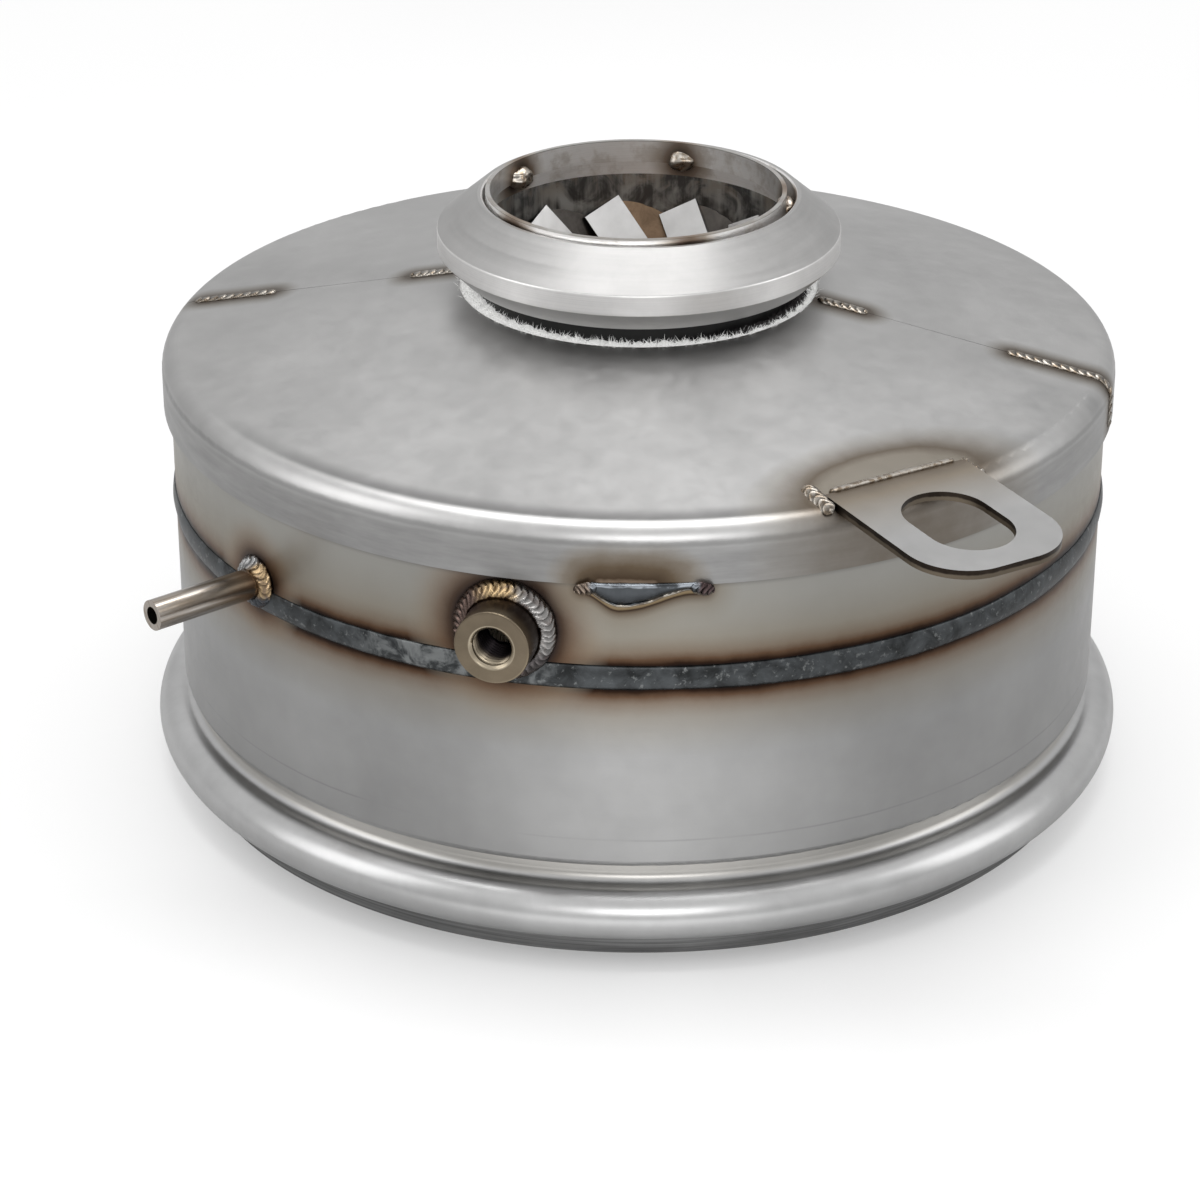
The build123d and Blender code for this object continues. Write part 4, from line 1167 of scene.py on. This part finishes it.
def make_tacks(material):
    """Lumpy nuggets under the pilot ring."""
    for number in TACKS:
        node = f"pilot_tack_{number}"
        bottom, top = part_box(node)
        middle = (bottom + top) / 2
        azimuth = math.atan2(middle.y, middle.x)
        turn = Matrix.Rotation(azimuth, 3, "Z")
        across = TACK_CIRCLE * math.cos(azimuth)
        centre = Vector((across, TACK_CIRCLE * math.sin(azimuth), PILOT_LOW + TACK_RISE))
        rng = np.random.default_rng(60 + number)
        waves = [Vector(wave) for wave in rng.normal(size=(7, 3)) * 2.6]
        phases = rng.uniform(0, 6.28, 7)
        work = bmesh.new()
        bmesh.ops.create_icosphere(work, subdivisions=4, radius=1.0)
        for corner in work.verts:
            lump = sum(math.sin(corner.co.dot(wave) + phase) for wave, phase in zip(waves, phases))
            share = corner.co * (1 + 0.045 * lump)
            local = Vector([part * half * MM for part, half in zip(share, TACK_HALVES)])
            corner.co = centre + turn @ local
        mesh = bpy.data.meshes.new(f"tack_nugget_{number}")
        work.to_mesh(mesh)
        work.free()
        add_crests(mesh, [0.85] * len(mesh.vertices))
        tidy_mesh(mesh)
        dress(new_object(f"tack_nugget_{number}", mesh, material), "cover_weld_metal", node)


def make_boss(material):
    """Boss with its real thread: a turned outside and a threaded bore."""
    start = -reach("sensor_boss", -BOSS_AXIS)
    turn = full_turn(96)
    mouth = 0.9 * MM
    edge = 0.5 * MM
    outline = [
        (BOSS_RADIUS, start),
        (BOSS_RADIUS, start + 1 * MM),
        (BOSS_RADIUS, BOSS_END - edge - 0.2 * MM),
        (BOSS_RADIUS, BOSS_END - edge),
        (BOSS_RADIUS - edge * 0.3, BOSS_END - edge * 0.3),
        (BOSS_RADIUS - edge, BOSS_END),
        (BOSS_RADIUS - edge - 0.2 * MM, BOSS_END),
        (THREAD_CORE + mouth + 0.3 * MM, BOSS_END),
        (THREAD_CORE + mouth + 0.1 * MM, BOSS_END),
        (THREAD_CORE + mouth, BOSS_END - 0.05 * MM),
    ]
    for place in np.arange(BOSS_END - mouth, start, -THREAD_PITCH / 10):
        phase = ((BOSS_END - place) / THREAD_PITCH - turn / (2 * math.pi)) % 1
        tooth = np.clip(np.abs(phase - 0.5) * 2 * 1.25 - 0.12, 0, 1)
        fade = min(1.0, (BOSS_END - mouth - place) / THREAD_PITCH)
        outline.append((THREAD_CORE + THREAD_DEPTH * tooth * (0.25 + 0.75 * fade), place))
    outline.append((THREAD_CORE, start))
    axis = np.array(BOSS_AXIS)
    side = out(BOSS_AZIMUTH + 90)
    grid = []
    for radius, place in outline:
        rim = np.outer(radius * np.cos(turn), side) + np.outer(radius * np.sin(turn), UP)
        grid.append(axis * place + UP * BOSS_HEIGHT + rim)
    dress(lathe("threaded_boss", np.array(grid), material), "boss_steel", "sensor_boss")


def make_rolled_flange(material):
    """Outlet flange turned finely: one sheet line from the sleeve through the bead to the lip."""
    bottom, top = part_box("outlet_flange")
    middle = top.x - BEAD_RADIUS
    over = FLANGE_BEAD_HEIGHT + BEAD_RADIUS
    under = FLANGE_BEAD_HEIGHT - BEAD_RADIUS
    outline = []
    for inset, order in ((0.0, 1), (FLANGE_SHEET, -1)):
        sleeve = FLANGE_SLEEVE - inset
        lip = FLANGE_LIP - inset
        upper = FLANGE_SLEEVE + SLEEVE_FILLET
        lower = FLANGE_LIP + LIP_FILLET
        side = [(sleeve, top.z), (sleeve, over + SLEEVE_FILLET)]
        side += arc(upper, over + SLEEVE_FILLET, SLEEVE_FILLET + inset, start=180.0, end=270.0)
        side += arc(middle, FLANGE_BEAD_HEIGHT, BEAD_RADIUS - inset, start=90.0, end=-90.0, count=40)
        side += arc(lower, under - LIP_FILLET, LIP_FILLET + inset, start=90.0, end=180.0)
        side += [(lip, under - LIP_FILLET - 0.4 * MM), (lip, bottom.z)]
        outline += side[::order]
    dress(turned("rolled_flange", outline, material, spokes=420), "flange_steel", "outlet_flange")


def geometry_tree(name, inputs):
    """Geometry tree with named number inputs and one geometry output."""
    tree = bpy.data.node_groups.new(name, "GeometryNodeTree")
    tree.interface.new_socket("Geometry", in_out="INPUT", socket_type="NodeSocketGeometry")
    for label in inputs:
        tree.interface.new_socket(label, in_out="INPUT", socket_type="NodeSocketFloat")
    tree.interface.new_socket("Geometry", in_out="OUTPUT", socket_type="NodeSocketGeometry")
    graph = Graph(tree)
    return graph, graph.sockets("NodeGroupInput", "Geometry", *inputs)


def close_tree(graph, geometry, material):
    """Ends a geometry tree in Realize Instances and Set Material, and gives the tree."""
    real = graph.add("GeometryNodeRealizeInstances", inputs={0: geometry})
    graph.end("NodeGroupOutput", graph.add("GeometryNodeSetMaterial", inputs={0: real, 2: material}))
    return graph.tree


def grown(name, base, tree, inputs, material):
    """Plain mesh of what a geometry tree makes on a base mesh with these inputs."""
    holder = bpy.data.objects.new(name, base)
    bpy.context.scene.collection.objects.link(holder)
    modifier = holder.modifiers.new("grow", "NODES")
    modifier.node_group = tree
    for item in tree.interface.items_tree:
        if item.in_out == "INPUT" and item.name in inputs:
            modifier[item.identifier] = float(inputs[item.name])
    bpy.context.view_layer.update()
    evaluated = holder.evaluated_get(bpy.context.evaluated_depsgraph_get())
    mesh = bpy.data.meshes.new_from_object(evaluated)
    mesh.name = name
    bpy.data.objects.remove(holder)
    mesh.materials.clear()
    return new_object(name, mesh, material)


def web_tree(material):
    """Parallel thin walls across a disc, each as long as the disc is wide there."""
    names = ["Radius", "Pitch", "Wall", "Depth", "Height", "Turn"]
    graph, (_, radius, pitch, thickness, depth, height, turn) = geometry_tree("monolith webs", names)
    count = ((radius - pitch * 0.5) * 2.0 / pitch).floor()
    first = graph.vector(0.0, -(count - 1.0) * pitch * 0.5, height)
    step = graph.vector(0.0, pitch, 0.0)
    line = graph.add("GeometryNodeMeshLine", None, {"Count": count, "Start Location": first, "Offset": step})
    beside = graph.split(graph.add("GeometryNodeInputPosition"))[1]
    chord = (radius * radius - beside * beside).most(0.0).root() * 2.0
    size = graph.vector(chord, thickness, depth)
    wall = graph.add("GeometryNodeMeshCube", inputs={"Size": (1.0, 1.0, 1.0)})
    inputs = {"Points": line, "Instance": wall, "Scale": size}
    walls = graph.add("GeometryNodeInstanceOnPoints", inputs=inputs)
    inputs = {"Geometry": walls, "Rotation": graph.vector(0.0, 0.0, turn)}
    return close_tree(graph, graph.add("GeometryNodeTransform", inputs=inputs), material)


def make_monolith(material):
    """Monolith whose two faces are crossing webs over a plain core inside its skin."""
    bottom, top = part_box("substrate")
    radius = top.x
    inside = radius - MONOLITH_SKIN
    tree = web_tree(material)
    blank = bpy.data.meshes.new("blank")
    webs = []
    for face, height in (("lower", bottom.z + CELL_DEPTH / 2), ("upper", top.z - CELL_DEPTH / 2)):
        for direction, turn in (("x", 0.0), ("y", math.pi / 2)):
            sizes = {
                "Radius": radius - MONOLITH_SKIN * 0.5,
                "Pitch": CELL_PITCH,
                "Wall": CELL_WALL,
                "Depth": CELL_DEPTH,
                "Height": height,
                "Turn": turn,
            }
            webs.append(grown(f"webs_{face}_{direction}", blank, tree, sizes, material))
    outline = [
        (inside, bottom.z),
        (radius - MONOLITH_CHAMFER, bottom.z),
        (radius, bottom.z + MONOLITH_CHAMFER),
        (radius, top.z - MONOLITH_CHAMFER),
        (radius - MONOLITH_CHAMFER, top.z),
        (inside, top.z),
        (inside, top.z - CELL_DEPTH),
        (0.1 * MM, top.z - CELL_DEPTH),
        (0.1 * MM, bottom.z + CELL_DEPTH),
        (inside, bottom.z + CELL_DEPTH),
    ]
    webs.append(turned("monolith_core", outline, material, spokes=160))
    dress(join("monolith", webs), "monolith", "substrate")


def tuft_tree(material):
    """Loose fibres that stand on a surface at random."""
    names = ["Density", "Length", "Thickness"]
    graph, (surface, density, stretch, thickness) = geometry_tree("loose fibres", names)
    points = graph.add("GeometryNodeDistributePointsOnFaces", None, {"Mesh": surface, "Density": density})
    cone = {
        "Vertices": 4,
        "Side Segments": 2,
        "Radius Top": 0.0,
        "Radius Bottom": thickness,
        "Depth": stretch,
    }
    fibre = graph.add("GeometryNodeMeshCone", {"fill_type": "TRIANGLE_FAN"}, cone)
    lean = {"Min": (-1.25, -1.25, 0.0), "Max": (1.25, 1.25, 6.28)}
    turn = graph.add("FunctionNodeRandomValue", {"data_type": "FLOAT_VECTOR"}, lean)
    size = graph.add("FunctionNodeRandomValue", {"data_type": "FLOAT"}, {2: 0.5, 3: 1.5}, output=1)
    inputs = {"Points": points, "Instance": fibre, "Rotation": turn, "Scale": size}
    return close_tree(graph, graph.add("GeometryNodeInstanceOnPoints", inputs=inputs), material)


def ragged_top(turn, lid):
    """Rings of the blanket's uneven top in the gap round the neck."""
    rng = np.random.default_rng(71)
    waves = [(rng.integers(9, 90), rng.uniform(0, 6.28), rng.uniform(-1.5, 1.5)) for _ in range(26)]
    rows = []
    for share in np.arange(13) / 12:
        radius = NECK_RADIUS + BLANKET_CLEAR + (COVER_HOLE - NECK_RADIUS - 2 * BLANKET_CLEAR) * share
        uneven = sum(np.sin(number * turn + phase + twist * share * 6) for number, phase, twist in waves) / 5
        crest = lid - 0.4 * MM * (1 - share) - 0.1 * MM
        height = crest + uneven * 0.55 * MM * (1 - share * 0.7)
        rows.append(circle(radius, np.minimum(height, lid + 0.2 * MM), turn))
    return rows


def top_patch(body):
    """Mesh of the body's upward faces that show in the gap, for the loose fibres."""
    inner = (NECK_RADIUS + 1.2 * MM) ** 2
    outer = (COVER_HOLE - 0.3 * MM) ** 2
    work = bmesh.new()
    work.from_mesh(body.data)
    unwanted = [
        face
        for face in work.faces
        if not (inner < face.calc_center_median().xy.length_squared < outer and face.normal.z > 0.3)
    ]
    bmesh.ops.delete(work, geom=unwanted, context="FACES")
    patch = bpy.data.meshes.new("blanket_top")
    work.to_mesh(patch)
    work.free()
    return patch


def make_blanket(material):
    """Fibre blanket under the cover, ragged where it shows round the neck."""
    turn = full_turn(360)
    bottom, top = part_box("insulation_blanket")
    shoulder = COVER_RADIUS - COVER_BEND
    outside = 157.2 * MM
    heel = 150.2 * MM
    toe = NECK_RADIUS + 5.4 * MM
    rows = ragged_top(turn, top.z)
    for radius, height in (
        (COVER_HOLE - 0.1 * MM, cover_height(COVER_HOLE) - BLANKET_UNDER),
        (shoulder, cover_height(shoulder) - BLANKET_UNDER),
        (outside - 0.7 * MM, BEND_HEIGHT + 2.6 * MM),
        (outside, BEND_HEIGHT - 2 * MM),
        (outside, bottom.z + 5 * MM),
        (heel, cover_height(heel) - BLANKET_THICK),
        (toe, cover_height(toe) - BLANKET_THICK),
        (NECK_RADIUS + BLANKET_CLEAR, cover_height(NECK_RADIUS) - 5.5 * MM),
    ):
        rows.append(circle(radius, height, turn))
    body = lathe("blanket_body", np.array(rows), material)
    sizes = {"Density": FIBRES_PER_AREA, "Length": FIBRE_LENGTH, "Thickness": FIBRE_THICKNESS}
    tufts = grown("blanket_tufts", top_patch(body), tuft_tree(material), sizes, material)
    dress(join("fibre_blanket", [body, tufts]), "blanket_fibre", "insulation_blanket")


def paint_nodes(finishes):
    """Gives each CAD node that stays its finish."""
    for material, nodes in finishes.items():
        for node in nodes:
            mesh = frame["nodes"][node].data
            if not mesh.materials:
                mesh.materials.append(material)
            for number in range(len(mesh.materials)):
                mesh.materials[number] = material


def make_camera():
    """Camera at the place that the object's circles give."""
    pitch = math.radians(CAMERA_PITCH)
    yaw = math.radians(CAMERA_YAW)
    ahead = Vector((math.sin(yaw) * math.cos(pitch), math.cos(yaw) * math.cos(pitch), -math.sin(pitch)))
    level = ahead.cross(Vector((0, 0, 1))).normalized()
    roll = Matrix.Rotation(math.radians(CAMERA_ROLL), 3, ahead)
    axes = Matrix((roll @ level, roll @ level.cross(ahead), -ahead)).transposed().to_4x4()
    data = bpy.data.cameras.new("camera")
    data.lens = CAMERA_LENS
    data.sensor_width = CAMERA_SENSOR
    data.clip_start = 0.01
    data.clip_end = 50.0
    camera = bpy.data.objects.new("camera", data)
    camera.matrix_world = Matrix.Translation(Vector(CAMERA_PLACE)) @ axes
    bpy.context.scene.collection.objects.link(camera)
    bpy.context.scene.camera = camera


def light_path(graph):
    """1 for rays from the camera, and for mirrored and for refracted rays."""
    return graph.sockets("ShaderNodeLightPath", "Is Camera Ray", "Is Glossy Ray", "Is Transmission Ray")


def make_floor():
    """Pale floor that shows white to the camera and keeps the object's shadow, with painted light that lifts
    the shadow at the sides and a patch in front that glows only in reflections.
    """
    paint = Paint("studio_floor")
    seen, glossy, refracted = light_path(paint)
    mirrored = glossy + refracted
    plain = paint.add("ShaderNodeBsdfDiffuse", inputs={"Color": paint.blend(mirrored, grey(0.93), grey(0.6))})
    beside = abs(paint.x)
    # Painted light: a patch in front of the object that glows brighter in reflections only
    front = paint.rise(beside, 270.0, 0.0) * paint.rise(paint.y, -150.0, -240.0)
    front = front * paint.rise(paint.y, -520.0, -280.0)
    strength = 1.0 + mirrored * front * 0.5
    glow = paint.add("ShaderNodeEmission", inputs={"Color": WHITE, "Strength": strength})
    # Painted light: whiter to the camera at the sides, which lifts the object's shadow there
    clear = paint.rise(beside, 90.0, 230.0)
    factor = seen * (0.1 + clear * 0.6) + mirrored * (0.08 + front * 0.9)
    both = paint.add("ShaderNodeMixShader", inputs={0: factor, 1: plain, 2: glow})
    paint.end("ShaderNodeOutputMaterial", both)
    mesh = bpy.data.meshes.new("studio_floor")
    half = 4.0
    corners = [(-half, -half, 0), (half, -half, 0), (half, half, 0), (-half, half, 0)]
    mesh.from_pydata(corners, [], [(0, 1, 2, 3)])
    new_object("studio_floor", mesh, paint.material)


def make_world():
    """White surroundings for the camera, a pale sky for reflections, and grey for plain light."""
    world = bpy.data.worlds.new("studio")
    bpy.context.scene.world = world
    world.use_nodes = True
    world.node_tree.nodes.clear()
    graph = Graph(world.node_tree)
    seen, glossy, refracted = light_path(graph)
    mirrored = glossy.most(refracted)
    height = graph.split(graph.add("ShaderNodeTexCoord", output="Generated"))[2]
    smooth = {"interpolation_type": "SMOOTHSTEP"}
    sky = graph.add("ShaderNodeMapRange", smooth, {0: height, 1: 0.0, 2: 1.0, 3: 0.6, 4: 0.86})
    strength = seen + (1.0 - seen) * (mirrored * sky + (1.0 - mirrored) * 0.72)
    background = graph.add("ShaderNodeBackground", inputs={"Color": WHITE, "Strength": strength})
    graph.end("ShaderNodeOutputWorld", background)


def make_lights():
    """Large soft boxes above and beside the object."""
    centre = Vector((0.0, 0.0, 0.1))
    for name, place, width, height, power in (
        ("box_above", (0.0, 0.15, 1.5), 1.1, 0.7, 9.0),
        ("box_left", (-1.4, -0.5, 0.9), 0.8, 1.2, 4.5),
        ("box_right", (1.5, -0.2, 0.8), 0.7, 1.1, 3.5),
        ("box_front", (0.1, -1.7, 0.9), 0.8, 0.6, 5.0),
    ):
        data = bpy.data.lights.new(name, "AREA")
        data.shape = "RECTANGLE"
        data.size = width
        data.size_y = height
        data.energy = power
        light = bpy.data.objects.new(name, data)
        light.location = place
        light.rotation_mode = "QUATERNION"
        light.rotation_quaternion = (centre - Vector(place)).to_track_quat("-Z", "Y")
        bpy.context.scene.collection.objects.link(light)


cover_weld = cover_weld_metal()
stitch_weld = stitch_weld_metal()
pipe_weld = pipe_weld_metal()
paint_nodes(
    {
        cover_steel(): ["front_cover", "rear_cover"],
        shell_steel(): ["substrate_can", "inlet_shell", "upper_retaining_ring", "lower_retaining_ring"],
        turned_steel(): ["inlet_flange", "pilot_ring"],
        cap_steel(): ["inner_cap", "inlet_flange_weld"],
        mixer_steel(): ["swirl_mixer"],
        tube_steel(): ["pressure_tube"],
        lug_steel(): ["lifting_lug"],
        seam_weld_metal(): ["can_seam_weld", "inlet_shell_seam_weld", "outlet_weld", "inner_cap_weld"],
        mat_fibre(): ["support_mat"],
    }
)
make_rolled_flange(flange_steel())
make_girth_weld(girth_weld_metal())
make_pipe_weld("boss_weld_ripples", "sensor_boss_weld", pipe_weld, BOSS_AZIMUTH, BOSS_HEIGHT, BOSS_RADIUS,
               BOSS_WELD_LEG, pitch=2.1 * MM, seed=81)
make_pipe_weld("tube_weld_ripples", "pressure_tube_weld", pipe_weld, TUBE_AZIMUTH, TUBE_HEIGHT, TUBE_RADIUS,
               TUBE_WELD_LEG, pitch=1.9 * MM, seed=82)
make_seam_welds(cover_weld)
make_lug_welds(cover_weld)
make_stitch_weld("stitch_weld_front", STITCH_AZIMUTH, stitch_weld, seed=91)
make_stitch_weld("stitch_weld_rear", STITCH_AZIMUTH + 180, stitch_weld, seed=92)
make_tacks(cover_weld)
make_boss(boss_steel())
make_monolith(monolith_ceramic())
make_blanket(blanket_fibre())

make_camera()
make_floor()
make_world()
make_lights()
bpy.context.scene.view_settings.view_transform = "Standard"
